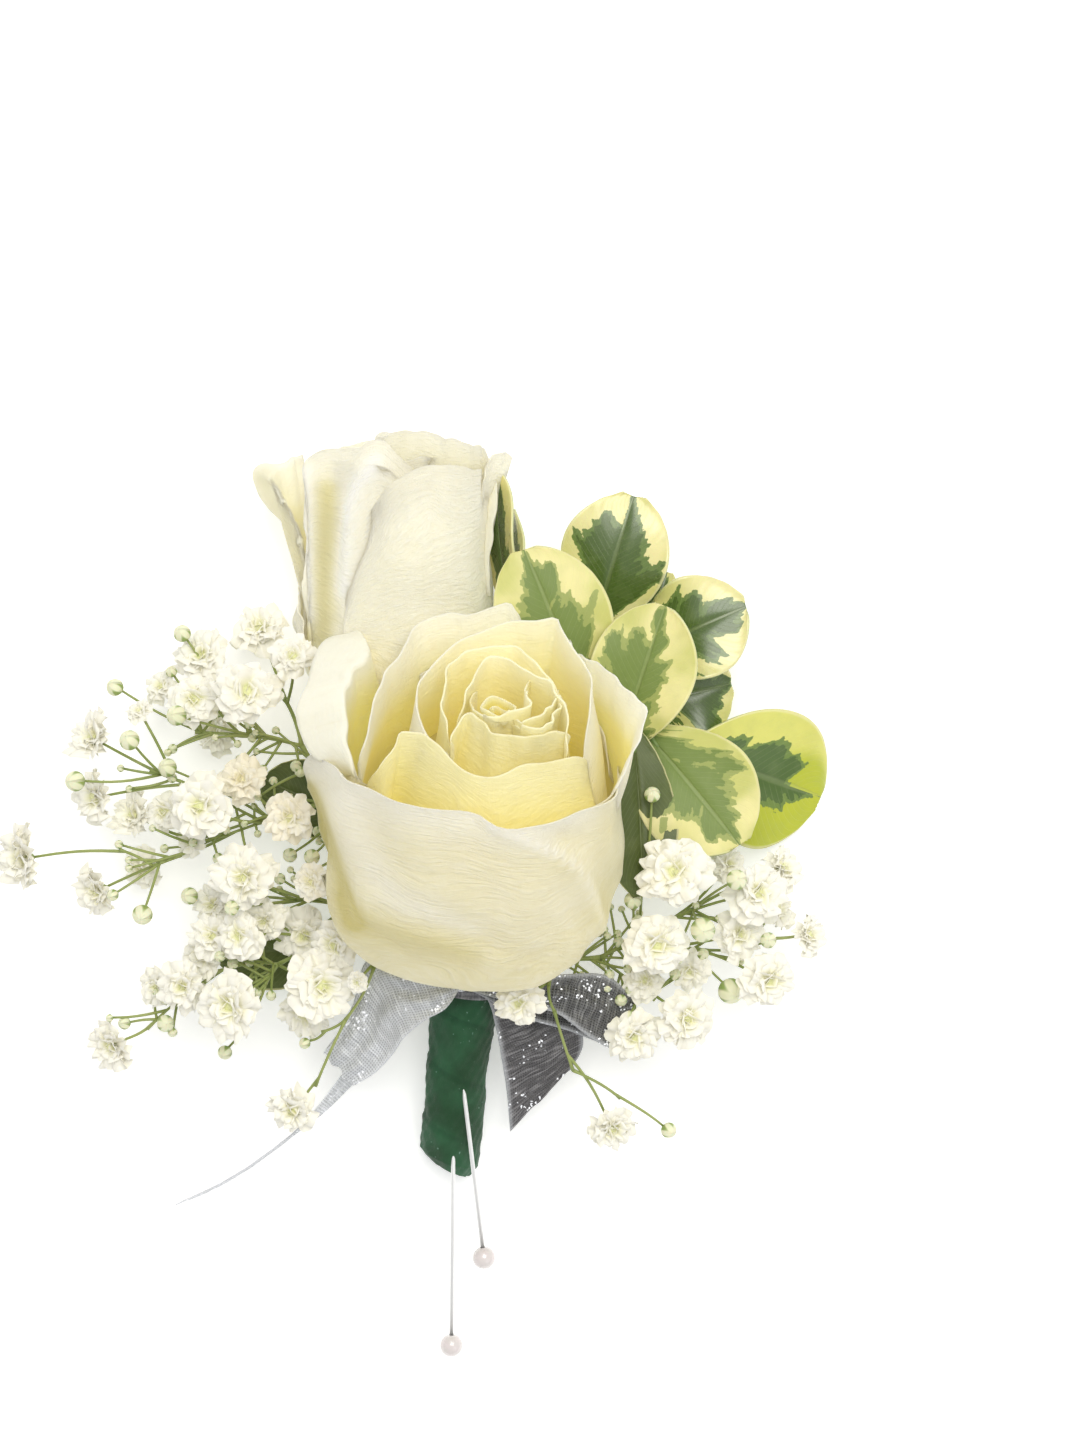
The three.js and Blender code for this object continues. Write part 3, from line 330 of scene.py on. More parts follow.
def petal_material():
    """Ivory petals: yellow in the depths and inside, paler at the lip, with fine streaks.

    The outside's colour goes over to the inside's by the inner face or by the field yolk. The
    field pale makes the inside paler. The field fold is painted shade along folds, and a painted
    highlight where it is below 0. The petals glow with painted light in the depths and on inner
    faces, on pale petals and along the painted highlights.
    """
    s = Shader(
        "rose_petal",
        Subsurface_Weight=0.55,
        Subsurface_Radius=(1.0, 0.92, 0.7),
        Subsurface_Scale=0.0022,
        Specular_IOR_Level=0.3,
        Sheen_Weight=0.1,
        Sheen_Roughness=0.4,
        Emission_Strength=0.12,
    )
    rise, across, inner, seed, yolk, fold, pale = s.fields("rise across inner seed yolk fold pale")
    cloud = s.noise(90.0, 3.0)
    grain = s.noise(420.0, 3.0, 0.6)
    veins = s.noise(1.0, 3.0, 0.6, at=s.vector(across * 42.0 + seed * 9.0, rise * 3.0 + seed))
    run = rise * 80.0 + cloud * 7.0 + s.noise(35.0, 2.0) * 40.0
    streaks = s.noise(1.0, 3.0, 0.65, at=s.vector(across * 8.0 + seed * 7.0, run))
    outside = s.over(
        (0.82, 0.755, 0.51),
        ((rise + (cloud - 0.5) * 0.2).step(0.66, 1.0), (0.90, 0.865, 0.70)),
        ((1.0 - rise).step(0.55, 0.98) * 0.7, (0.68, 0.60, 0.30)),
        (pale, (0.96, 0.90, 0.67)),
    )
    lip = s.blend(yolk * (1.0 - inner * 0.45), (0.93, 0.89, 0.67), (0.91, 0.82, 0.40))
    inside = s.over(
        s.blend(yolk, (0.92, 0.80, 0.27), (0.89, 0.715, 0.10)),
        (rise.step(0.45, 0.95), (0.91, 0.83, 0.42)),
        ((rise - yolk * 0.14 + (cloud - 0.5) * 0.1).step(0.64, 0.96), lip),
        (pale * 2.0 - 1.0 + rise.step(0.5, 0.8), (0.93, 0.89, 0.68)),
    )
    edge = across.math("ABSOLUTE").step(0.9, 1.0)
    depth = (inner * (1.0 - edge)).math("MAXIMUM", yolk)
    plain = 1.0 - depth * 0.6
    colour = s.over(
        s.blend(depth, outside, inside),
        ((streaks - 0.42) * plain * 0.8, (0.95, 0.93, 0.84)),
        ((0.5 - veins).step(0.0, 0.3) * (depth * 0.08 + 0.08), (0.82, 0.74, 0.44)),
        ((grain - 0.5).step(0.0, 0.25) * 0.15, (0.74, 0.68, 0.46)),
        # The field fold: painted shade along folds above 0, and a painted highlight below 0.
        (fold, (0.57, 0.50, 0.20)),
        (fold * -1.0, (0.98, 0.96, 0.86)),
    )
    # Painted glow in the depths, on inner faces, on pale petals and along painted highlights. It stands in
    # for light through the petals and lifts their shade.
    lit = depth * (inner * 0.6 + 0.7) * (1.0 - pale * 0.6) * (1.0 - rise.step(0.6, 0.95) * 0.4)
    painted_glow = lit.math("MAXIMUM", pale * 1.2 - 0.6) + (fold * -0.6).math("MAXIMUM", 0.0)
    s.set(Base_Color=colour, Roughness=veins * 0.2 + 0.45)
    s.set(Emission_Color=s.blend(painted_glow, (0.0, 0.0, 0.0), colour))
    s.bump(veins * 0.1 + streaks * plain * 1.2 + cloud * 1.5 + grain * 0.5, 0.0005, 0.7)
    return s.material


def leaf_material(name, margin, other, mid, dark, cover, gloss, coat, halves=False):
    """Variegated leaf: a ragged green middle whose lobes follow the side veins.

    It is green where its noise and the cover exceed the distance from the midrib, and dark where
    they do so by more. The margin's other colour comes in patches or on one half of the leaf.
    """
    s = Shader(
        name,
        Specular_IOR_Level=0.35,
        Subsurface_Weight=0.08,
        Subsurface_Radius=(0.5, 0.8, 0.2),
        Subsurface_Scale=0.001,
        Coat_Weight=coat,
        Coat_Roughness=0.25,
    )
    across, along, inner, seed = s.fields("across along inner seed")
    spread = across.math("ABSOLUTE")
    vein_line = along * 1.15 - spread * 0.42
    key = seed * 13.0 + across.math("SIGN") * 3.1
    lobes = s.noise(1.0, 1.0, at=s.vector(vein_line * 4.2 + key, spread * 0.8 + key))
    spikes = s.noise(1.0, 1.0, at=s.vector(vein_line * 15.0 + key, spread * 3.0 + key))
    rag = s.noise(650.0, 3.0, 0.6)
    reach = spread + (along - 0.62).math("MAXIMUM", 0.0) * 1.5
    jag = (lobes - 0.5) * 1.7 + (spikes - 0.5) * 0.5 + (rag - 0.5) * 0.45
    mottle = s.noise(420.0, 3.0)
    patches = s.noise(130.0, 2.0).step(0.35, 0.65)
    midrib = (0.05 - spread).step(-0.02, 0.02)
    line = (vein_line * 58.0).math("SINE").math("ABSOLUTE")
    ribs = (0.24 - line).step(-0.1, 0.2) * spread.step(0.02, 0.12)
    colour = s.over(
        margin,
        ((across + along * 1.5).step(0.35, 0.75) if halves else patches, other),
        ((mottle - 0.4) * 0.3, mid),
        ((jag - reach + cover).step(-0.015, 0.015), mid),
        ((jag * 1.2 - reach + cover - 0.16).step(-0.02, 0.02), dark),
        ((mottle - 0.5) * 0.3, (0.45, 0.5, 0.24)),
        (midrib * 0.10, (0.62, 0.68, 0.36)),
        (spread.step(0.94, 0.985) * 0.7, (0.80, 0.76, 0.40)),
        (ribs * 0.05, (0.70, 0.74, 0.42)),
    )
    under = s.blend(0.55, colour, (0.46, 0.56, 0.32))
    s.set(Base_Color=s.blend(inner, under, colour), Roughness=mottle * 0.2 + gloss)
    s.bump(midrib * -0.7 + ribs * -0.1 + mottle * 0.5, 0.0002, 0.6)
    return s.material


def stem_material(name, colour, pale):
    """A green stem, paler in patches, with fine streaks along it."""
    s = Shader(name, Specular_IOR_Level=0.4, Subsurface_Weight=0.05, Subsurface_Scale=0.0006)
    patches = s.noise(160.0, 3.0)
    fine = s.noise(2400.0, 2.0, at=s.stretch(1.0, 0.2, 1.0))
    s.set(Base_Color=s.blend((patches - 0.35) * 1.6, colour, pale), Roughness=fine * 0.25 + 0.35)
    s.bump(fine, 0.00006, 0.5)
    return s.material


def floret_material():
    """White frilled petals, greenish yellow in the middle and a little beige here and there.

    The field tone is 0 in the middle of a floret and grows outwards, and seed says how warm it is.
    The petals glow a little with painted light that lifts their shaded sides.
    """
    s = Shader(
        "floret_petal",
        Subsurface_Weight=0.15,
        Subsurface_Radius=(0.9, 0.85, 0.7),
        Subsurface_Scale=0.0008,
        # A faint painted glow in the petals' own ivory.
        Emission_Color=(0.90, 0.88, 0.78, 1),
        Emission_Strength=0.05,
    )
    tone, seed = s.fields("tone seed")
    beige = (seed * 0.6 + s.noise(260.0, 2.0) * 0.5).step(0.60, 0.92)
    veins = s.noise(1500.0, 2.0)
    colour = s.over(
        (0.62, 0.66, 0.26),
        (tone.step(0.04, 0.30), (0.84, 0.82, 0.58)),
        (tone.step(0.2, 0.6), (0.90, 0.88, 0.78)),
        (beige * 0.5, (0.86, 0.76, 0.54)),
    )
    s.set(Base_Color=colour, Roughness=veins * 0.2 + 0.5)
    s.bump(veins, 0.0001, 0.5)
    return s.material


def flower_bud_material():
    """A closed bud: five green stripes that fade into a white tip."""
    s = Shader("floret_bud", Roughness=0.5, Subsurface_Weight=0.1, Subsurface_Scale=0.0008)
    rise, across = s.fields("rise across")
    stripes = (across * math.tau * 5.0).math("COSINE") * 0.5 + 0.5
    green = (stripes * 0.55 + 0.75 - rise * 1.1).step(0.25, 0.6)
    pale = s.blend(s.noise(900.0, 2.0), (0.86, 0.86, 0.66), (0.78, 0.80, 0.50))
    s.set(Base_Color=s.blend(green, pale, (0.28, 0.38, 0.10)))
    s.bump(stripes, 0.0001, 0.6)
    return s.material


def tape_material():
    """Dark green crepe tape, with fine wrinkles across and painted shade at the edges of its laps."""
    s = Shader("stem_tape", Specular_IOR_Level=0.45)
    along, around, lap = s.fields("along across lap")
    crepe = s.noise(1.0, 3.0, 0.65, at=s.vector(around * 60.0, along * 420.0 + around * 30.0))
    fibres = s.noise(2600.0, 3.0, at=s.stretch(1.0, 0.35, 1.0))
    colour = s.over(
        (0.010, 0.060, 0.018),
        (s.noise(140.0, 3.0).step(0.35, 0.7), (0.024, 0.125, 0.050)),
        (crepe.step(0.5, 0.75) * 0.35, (0.05, 0.20, 0.09)),
        # Painted shade where a lap of tape steps out over the last.
        (lap * 0.25, (0.004, 0.035, 0.018)),
        (s.noise(1700.0, 1.0).step(0.74, 0.8) * 0.5, (0.35, 0.6, 0.5)),
    )
    s.set(Base_Color=colour, Roughness=fibres * 0.25 + 0.38)
    s.bump(crepe * 0.8 + fibres * 0.5 - lap * 0.3, 0.0003, 0.8)
    return s.material


def ribbon_material(name, thread, light, cover):
    """Sheer ribbon: fine threads both ways, see-through gaps, and glitter.

    Threads are sines of the millimetres across and along the ribbon. Glitter is the cells of a
    fine Voronoi pattern whose random red is near 1, and more of them in patches. Streaks across
    the ribbon take the light colour as painted sheen, and the glitter glows with painted glints.
    """
    s = Shader(
        name, Specular_IOR_Level=0.5, Sheen_Weight=0.3, Sheen_Roughness=0.3, Emission_Strength=0.35
    )
    across, along, hem = s.fields("across run hem")
    weft = (along * (math.tau / 0.42)).math("SINE") * 0.5 + 0.5
    warp = (across * (math.tau / 0.36)).math("SINE") * 0.5 + 0.5
    threads = weft.math("MAXIMUM", warp)
    cloud = s.noise(150.0, 3.0)
    # Painted sheen in streaks across the ribbon, which also varies its roughness and bump.
    painted_sheen_streak = s.noise(1.0, 3.0, 0.6, at=s.vector(across * 0.3, along * 2.6))
    cells = s.node("ShaderNodeTexVoronoi", {"Vector": s.place(), "Scale": 3600.0}, "Color")
    patch = s.noise(260.0, 2.0).step(0.46, 0.70)
    # Glitter flecks, which also glow with painted glints.
    glitter_and_glint = (s.node("ShaderNodeSeparateColor", [cells]) + patch * 0.15).step(1.0, 1.03)
    colour = s.over(
        s.blend(threads * 0.3 + painted_sheen_streak.step(0.45, 0.68) * 0.7, thread, light),
        (hem * 0.6, (0.74, 0.76, 0.80)),
        (glitter_and_glint, (0.97, 0.98, 1.0)),
    )
    opaque = threads * 0.42 + cloud * 0.2 + hem * 0.3 + glitter_and_glint + cover
    # Only the glitter emits light: painted glints.
    s.set(
        Base_Color=colour,
        Metallic=glitter_and_glint * 0.5 + 0.12,
        Roughness=0.42 - glitter_and_glint * 0.25 + painted_sheen_streak * 0.15,
        Alpha=opaque.math("MINIMUM", 1.0),
        Emission_Color=s.blend(glitter_and_glint, (0.0, 0.0, 0.0), (0.9, 0.92, 1.0)),
    )
    s.bump(threads * 0.6 + painted_sheen_streak, 0.00015, 0.7)
    return s.material


def pearl_material():
    """A white pearl bead with a soft pink and green lustre."""
    s = Shader("pearl_bead", Specular_IOR_Level=0.7, Coat_Roughness=0.06)
    facing = s.node("ShaderNodeLayerWeight", {"Blend": 0.4}, "Facing")
    drift = s.noise(700.0, 2.0)
    lustre = s.blend(drift.step(0.35, 0.65), (0.76, 0.65, 0.64), (0.69, 0.67, 0.62))
    colour = s.blend(drift * 0.6, (0.72, 0.66, 0.65), lustre)
    s.set(Base_Color=colour, Roughness=drift * 0.1 + 0.16, Coat_Weight=facing * 0.3 + 0.7)
    s.bump(drift, 0.00003, 0.3)
    return s.material


def pin_material():
    """Steel, brushed round the wire."""
    s = Shader("pin_steel", Metallic=0.7)
    brushed = s.noise(1500.0, 2.0, at=s.stretch(6.0, 0.3, 6.0))
    colour = s.blend(brushed, (0.86, 0.87, 0.86), (0.95, 0.95, 0.94))
    s.set(Base_Color=colour, Roughness=brushed * 0.2 + 0.30)
    s.bump(brushed, 0.00002, 0.3)
    return s.material


PETAL = petal_material()
LEAF_FRONT = leaf_material(
    "leaf_front", (0.80, 0.74, 0.34), (0.58, 0.58, 0.18), (0.33, 0.38, 0.11), (0.18, 0.25, 0.06),
    cover=0.67, gloss=0.45, coat=0.1,
)
LEAF_BACK = leaf_material(
    "leaf_back", (0.82, 0.75, 0.36), (0.68, 0.64, 0.24), (0.13, 0.20, 0.045), (0.07, 0.12, 0.02),
    cover=0.80, gloss=0.17, coat=0.8,
)
LEAF_LIME = leaf_material(
    "leaf_lime", (0.70, 0.68, 0.16), (0.48, 0.52, 0.03), (0.15, 0.23, 0.04), (0.07, 0.13, 0.02),
    cover=0.54, gloss=0.22, coat=0.5, halves=True,
)
LEAF_OLIVE = leaf_material(
    "leaf_olive", (0.13, 0.17, 0.04), (0.10, 0.14, 0.03), (0.12, 0.15, 0.03), (0.08, 0.11, 0.02),
    cover=1.6, gloss=0.4, coat=0.2,
)
STEM = stem_material("gyp_stem", (0.24, 0.30, 0.08), (0.46, 0.50, 0.20))
WOODY = stem_material("leaf_stem", (0.16, 0.26, 0.07), (0.34, 0.36, 0.14))
SEPAL = stem_material("rose_sepal", (0.14, 0.26, 0.07), (0.26, 0.38, 0.13))
FLORET = floret_material()
BUD = flower_bud_material()
TAPE = tape_material()
# One silver-grey ribbon in three copies, lit, in half shade and in shade, with the light and shade painted
# into their colours.
RIBBON_PAINTED_LIT = ribbon_material("ribbon_painted_lit", (0.56, 0.575, 0.60), (0.95, 0.97, 1.0), 0.34)
RIBBON_PAINTED_HALF_SHADE = ribbon_material("ribbon_painted_half_shade", (0.05, 0.05, 0.05), (0.30, 0.30, 0.30), 0.42)
RIBBON_PAINTED_SHADE = ribbon_material("ribbon_painted_shade", (0.022, 0.02, 0.022), (0.27, 0.262, 0.27), 0.5)
PEARL_SKIN = pearl_material()
PIN = pin_material()


# Roses


class Flower:
    """A flower's frame: base, axis, front towards the viewer above, and right."""

    def __init__(self, base, axis):
        self.base = np.array(base, float)
        self.axis = unit(np.array(axis, float))
        front = np.array([0, -self.axis[2], self.axis[1]])
        self.front = unit(front - self.axis * (self.axis @ front))
        self.right = np.cross(self.axis, self.front)

    def at(self, right, front, up):
        """The base plus right, front and up, each along its own way."""
        right, front, up = (np.asarray(value, float)[..., None] for value in (right, front, up))
        return self.base + right * self.right + front * self.front + up * self.axis

    def local(self, point):
        """Right, front and up of a point."""
        return np.array([(point - self.base) @ way for way in (self.right, self.front, self.axis)])


def sight(across, down):
    """The way from the eye through a place of the photograph, scaled to a fall of 1 mm."""
    right, away = (across - TIE_PIXEL[0]) / PIXELS_PER_MM, (TIE_PIXEL[1] - down) / PIXELS_PER_MM
    return (np.array([right, away, PLANE_UP]) - EYE) / VIEW_HEIGHT


def nearness(points, line, width):
    """1 on a line of places in the photograph, and falling off from it over a width in pixels."""
    share = VIEW_HEIGHT / (EYE[2] - points[..., 2:])
    plane = EYE[:2] + (points[..., :2] - EYE[:2]) * share
    seen = TIE_PIXEL + PIXELS_PER_MM * plane * (1, -1)
    places = spline(line, 12 * len(line))
    away = np.linalg.norm(seen[..., None, :] - places, axis=-1).min(-1)
    return np.exp(-((away / width) ** 2))


class Rose(Flower):
    """A rose: the radius of its bowl, its height, and where its heart leans to at that height.

    A petal's rim is a list of places (right, front, up) in the order right, front, left, back. It
    is given by places in the photograph or as an arc.
    """

    def __init__(self, base, axis, core, high, heart, lying=False):
        super().__init__(base, axis)
        self.core = core
        self.high = high
        self.heart = heart
        self.lying = lying

    def seen(self, *places):
        """Rim places from (across, down, up along the axis)."""
        found = []
        for across, down, up in places:
            way = sight(across, down)
            reach = (up - (EYE - self.base) @ self.axis) / (way @ self.axis)
            found.append(self.local(EYE + reach * way))
        return np.array(found)

    def seen_at(self, *places):
        """Rim places from (across, down, height above the table)."""
        return np.array([self.local(EYE + (EYE[2] - z) * sight(x, y)) for x, y, z in places])

    def arc(self, facing, half, up, radius, drop, flare=0.0):
        """A rim half as many degrees to either side, which drops and flares towards its ends."""
        u = np.linspace(-1, 1, 13)
        turn = np.radians(facing + half * u)
        out = radius + flare * u**2
        up = up * (1 - drop * np.abs(u) ** 3)
        return np.stack([out * np.cos(turn), out * np.sin(turn), up], -1)


FRONT = Rose((6.0, 6.1, 16.0), (-0.092, 0.731, 0.682), 17.6, 42.5, (3.9, 0.9))
REAR = Rose((-8.2, 33.7, 8.5), (0.01, 0.987, 0.155), 11.8, 40, (0, 0), lying=True)

# The lying rose: its axis's height over the table at the base and how fast that grows, and the
# radius that has room at the base without being pressed.
LYING_UP, LYING_RISE, LYING_FULL = 8.75, 0.155, 13.8


def press(rose, front, up):
    """How far a petal's places are in front of the axis, once the table has pressed them.

    Under the axis of a lying rose that is multiplied by the axis's height over the table there,
    as a share of LYING_FULL, where the share is below 1.
    """
    if not rose.lying:
        return front
    return np.where(front < 0, front * np.minimum(1, (LYING_UP + LYING_RISE * up) / LYING_FULL), front)


# A petal's grid: its columns, and its rows in the bowl, the wall and the rolled edge. The bowl
# has its share of the rose's height, and ends at BOWL_END of the petal's length. Inside petals
# start at INSIDE_START. Wrinkles are waves across the petal, each with a rate and a size.
COLUMNS, BOWL_ROWS, WALL_ROWS, EDGE_ROWS = 64, 10, 34, 13
BOWL_SHARE, BOWL_END, INSIDE_START = 0.37, 0.4, 0.3
WRINKLES = [(11, 0.20), (19, 0.14), (31, 0.09)]


def along_rim(places, count):
    """A rim resampled at even steps of its length."""
    line = spline(places, 40 * len(places))
    run = np.append(0, np.cumsum(np.linalg.norm(np.diff(line, axis=0), axis=1)))
    t = np.linspace(0, run[-1], count)
    return np.stack([np.interp(t, run, line[:, k]) for k in range(3)], -1)


def bowl_curve(rose, v, foot, full):
    """Radius and height of the bowl at v: a quarter turn from the foot's radius to the full one."""
    turn = v / BOWL_END * (np.pi / 2)
    return foot + (full - foot) * np.sin(turn) ** 1.2, BOWL_SHARE * rose.high * (1 - np.cos(turn))


def petal_rows(rose, phase, bowl, rim, heart, start, curl, bulge):
    """Rows of a petal from the hip to its rim: radii, angles, heights and share of the wall.

    Up the wall the radius goes from the bowl's to the rim's, with a bulge and soft waves halfway,
    and with wrinkles and the curl at the lip.
    """
    right, front, up = along_rim(rim, COLUMNS).T
    across, ahead = right - heart[0] * up / rose.high, front - heart[1] * up / rose.high
    radius = np.hypot(across, ahead) - curl
    angle = np.unwrap(np.arctan2(ahead, across))
    u = np.linspace(-1, 1, COLUMNS)
    middle = np.interp(0, u, angle)
    narrow = middle + 0.86 * (angle - middle)
    wrinkle = sum(size * np.sin(rate * u + phase[k]) for k, (rate, size) in enumerate(WRINKLES))
    rows = []
    for v in np.linspace(start, BOWL_END, BOWL_ROWS)[:-1]:
        low_bowl = min(bowl, rose.core - 0.4 + 0.35 * (bowl - rose.core))
        out, height = bowl_curve(rose, v, 4, mix(low_bowl, bowl, smooth(v, 0.1, 0.42)))
        rows.append((out, narrow, height, 0))
    for w in 1 - (1 - np.linspace(0, 1, WALL_ROWS)) ** 1.35:
        lip = max(0.0, (w - 0.78) / 0.22)
        soft = 0.4 * np.sin(3.4 * u + phase[3]) * np.sin(6.0 * w + phase[4])
        soft = soft + 0.18 * np.sin(8.2 * u + phase[5]) * np.sin(9.0 * w + phase[3])
        out = mix(bowl, radius, w**1.5) + (bulge + soft) * np.sin(np.pi * w) + curl * lip**2
        height = mix(BOWL_SHARE * rose.high, up + 0.3 * curl, w) - 0.3 * curl * lip**3
        height = height + 0.7 * wrinkle[::-1] * w**6
        rows.append((out + wrinkle * w**4, mix(narrow, angle, w), height, w))
    return rows


def rolled_edge(last, crest, end, u, phase):
    """Rows from a petal's crest to an edge that is rolled out: an arch that goes on from the wall."""
    ahead = unit(crest - last)
    rows = []
    for w in np.linspace(0, 1, EDGE_ROWS)[1:]:
        sway = (0, 0, 0.5) * np.sin(9 * u + phase)[:, None] * w**2
        rows.append(mix(crest, end, w) + ahead * (1.6 * w * (1 - w) ** 1.5) + sway)
    return rows


def marks(place, rows):
    """The sum of the sizes of lines in the photograph, each times the nearness to its line."""
    return sum((size * nearness(place, line, wide) for line, wide, size in rows), np.zeros(place.shape[:2]))


def petal_part(
    rose, seed, bowl, rim, edge=None, inside=False, curl=0.35, bulge=0.6, swell=(), creases=(),
    folds=(), yolk=0.0, pale=0.0,
):
    """A petal from the hip to its rim, and on to its edge where that is rolled out.

    Inside petals stand round the rose's heart. A swell is an angle, a height, two widths and a
    size. Creases and painted fold shading follow lines in the photograph: a crease lifts the
    petal, and a fold line is painted shade, and a painted highlight where its size is below 0.
    """
    phase = np.random.default_rng(seed).uniform(0, 2 * np.pi, 6)
    u = np.linspace(-1, 1, COLUMNS)
    heart = rose.heart if inside else (0, 0)
    start = INSIDE_START if inside else 0.03
    grid = []
    for out, turn, height, w in petal_rows(rose, phase, bowl, rim, heart, start, curl, bulge):
        for at, level, wide, tall, size in swell:
            near = ((turn - math.radians(at)) / math.radians(wide)) ** 2 + ((height - level) / tall) ** 2
            out = out + size * np.exp(-near)
        height = np.broadcast_to(height, COLUMNS)
        right = out * np.cos(turn) + heart[0] * height / rose.high
        front = out * np.sin(turn) + heart[1] * height / rose.high
        grid.append(np.stack([right, mix(press(rose, front, height), front, w), height], -1))
    if edge is not None:
        grid += rolled_edge(grid[-2], grid[-1], along_rim(edge, COLUMNS), u, phase[1])
    place = rose.at(*np.moveaxis(np.array(grid), -1, 0))
    outward = unit(np.cross(np.gradient(place, axis=0), np.gradient(place, axis=1)))
    # Painted shade along fold lines, and painted highlights where a line's size is below 0.
    fold = marks(place, folds)
    place = place + outward * marks(place, creases)[..., None]
    rise = np.linspace(INSIDE_START if inside else 0, 1, len(grid))[:, None]
    thickness = mix(0.5, 0.24, smooth(rise, 0.45, 1.0)) * (1 - 0.5 * np.abs(u) ** 8)
    fields = {"rise": rise, "across": u, "seed": seed * 0.37, "fold": fold}
    return sheet(place, thickness, PETAL, yolk=yolk, pale=pale, **fields)


def front_petal(bowl, *places, **looks):
    """A petal of the front rose: its bowl's radius, its rim in the photograph, and its looks."""
    return {"bowl": bowl, "rim": FRONT.seen(*places), **looks}


def heart_petal(bowl, *places, **looks):
    """A petal that stands round the front rose's heart."""
    return front_petal(bowl, *places, **{"inside": True, "yolk": 1.0, **looks})


def rear_petal(bowl, *places, **looks):
    """A petal of the rear rose."""
    return {"bowl": bowl, "rim": REAR.seen_at(*places), **looks}


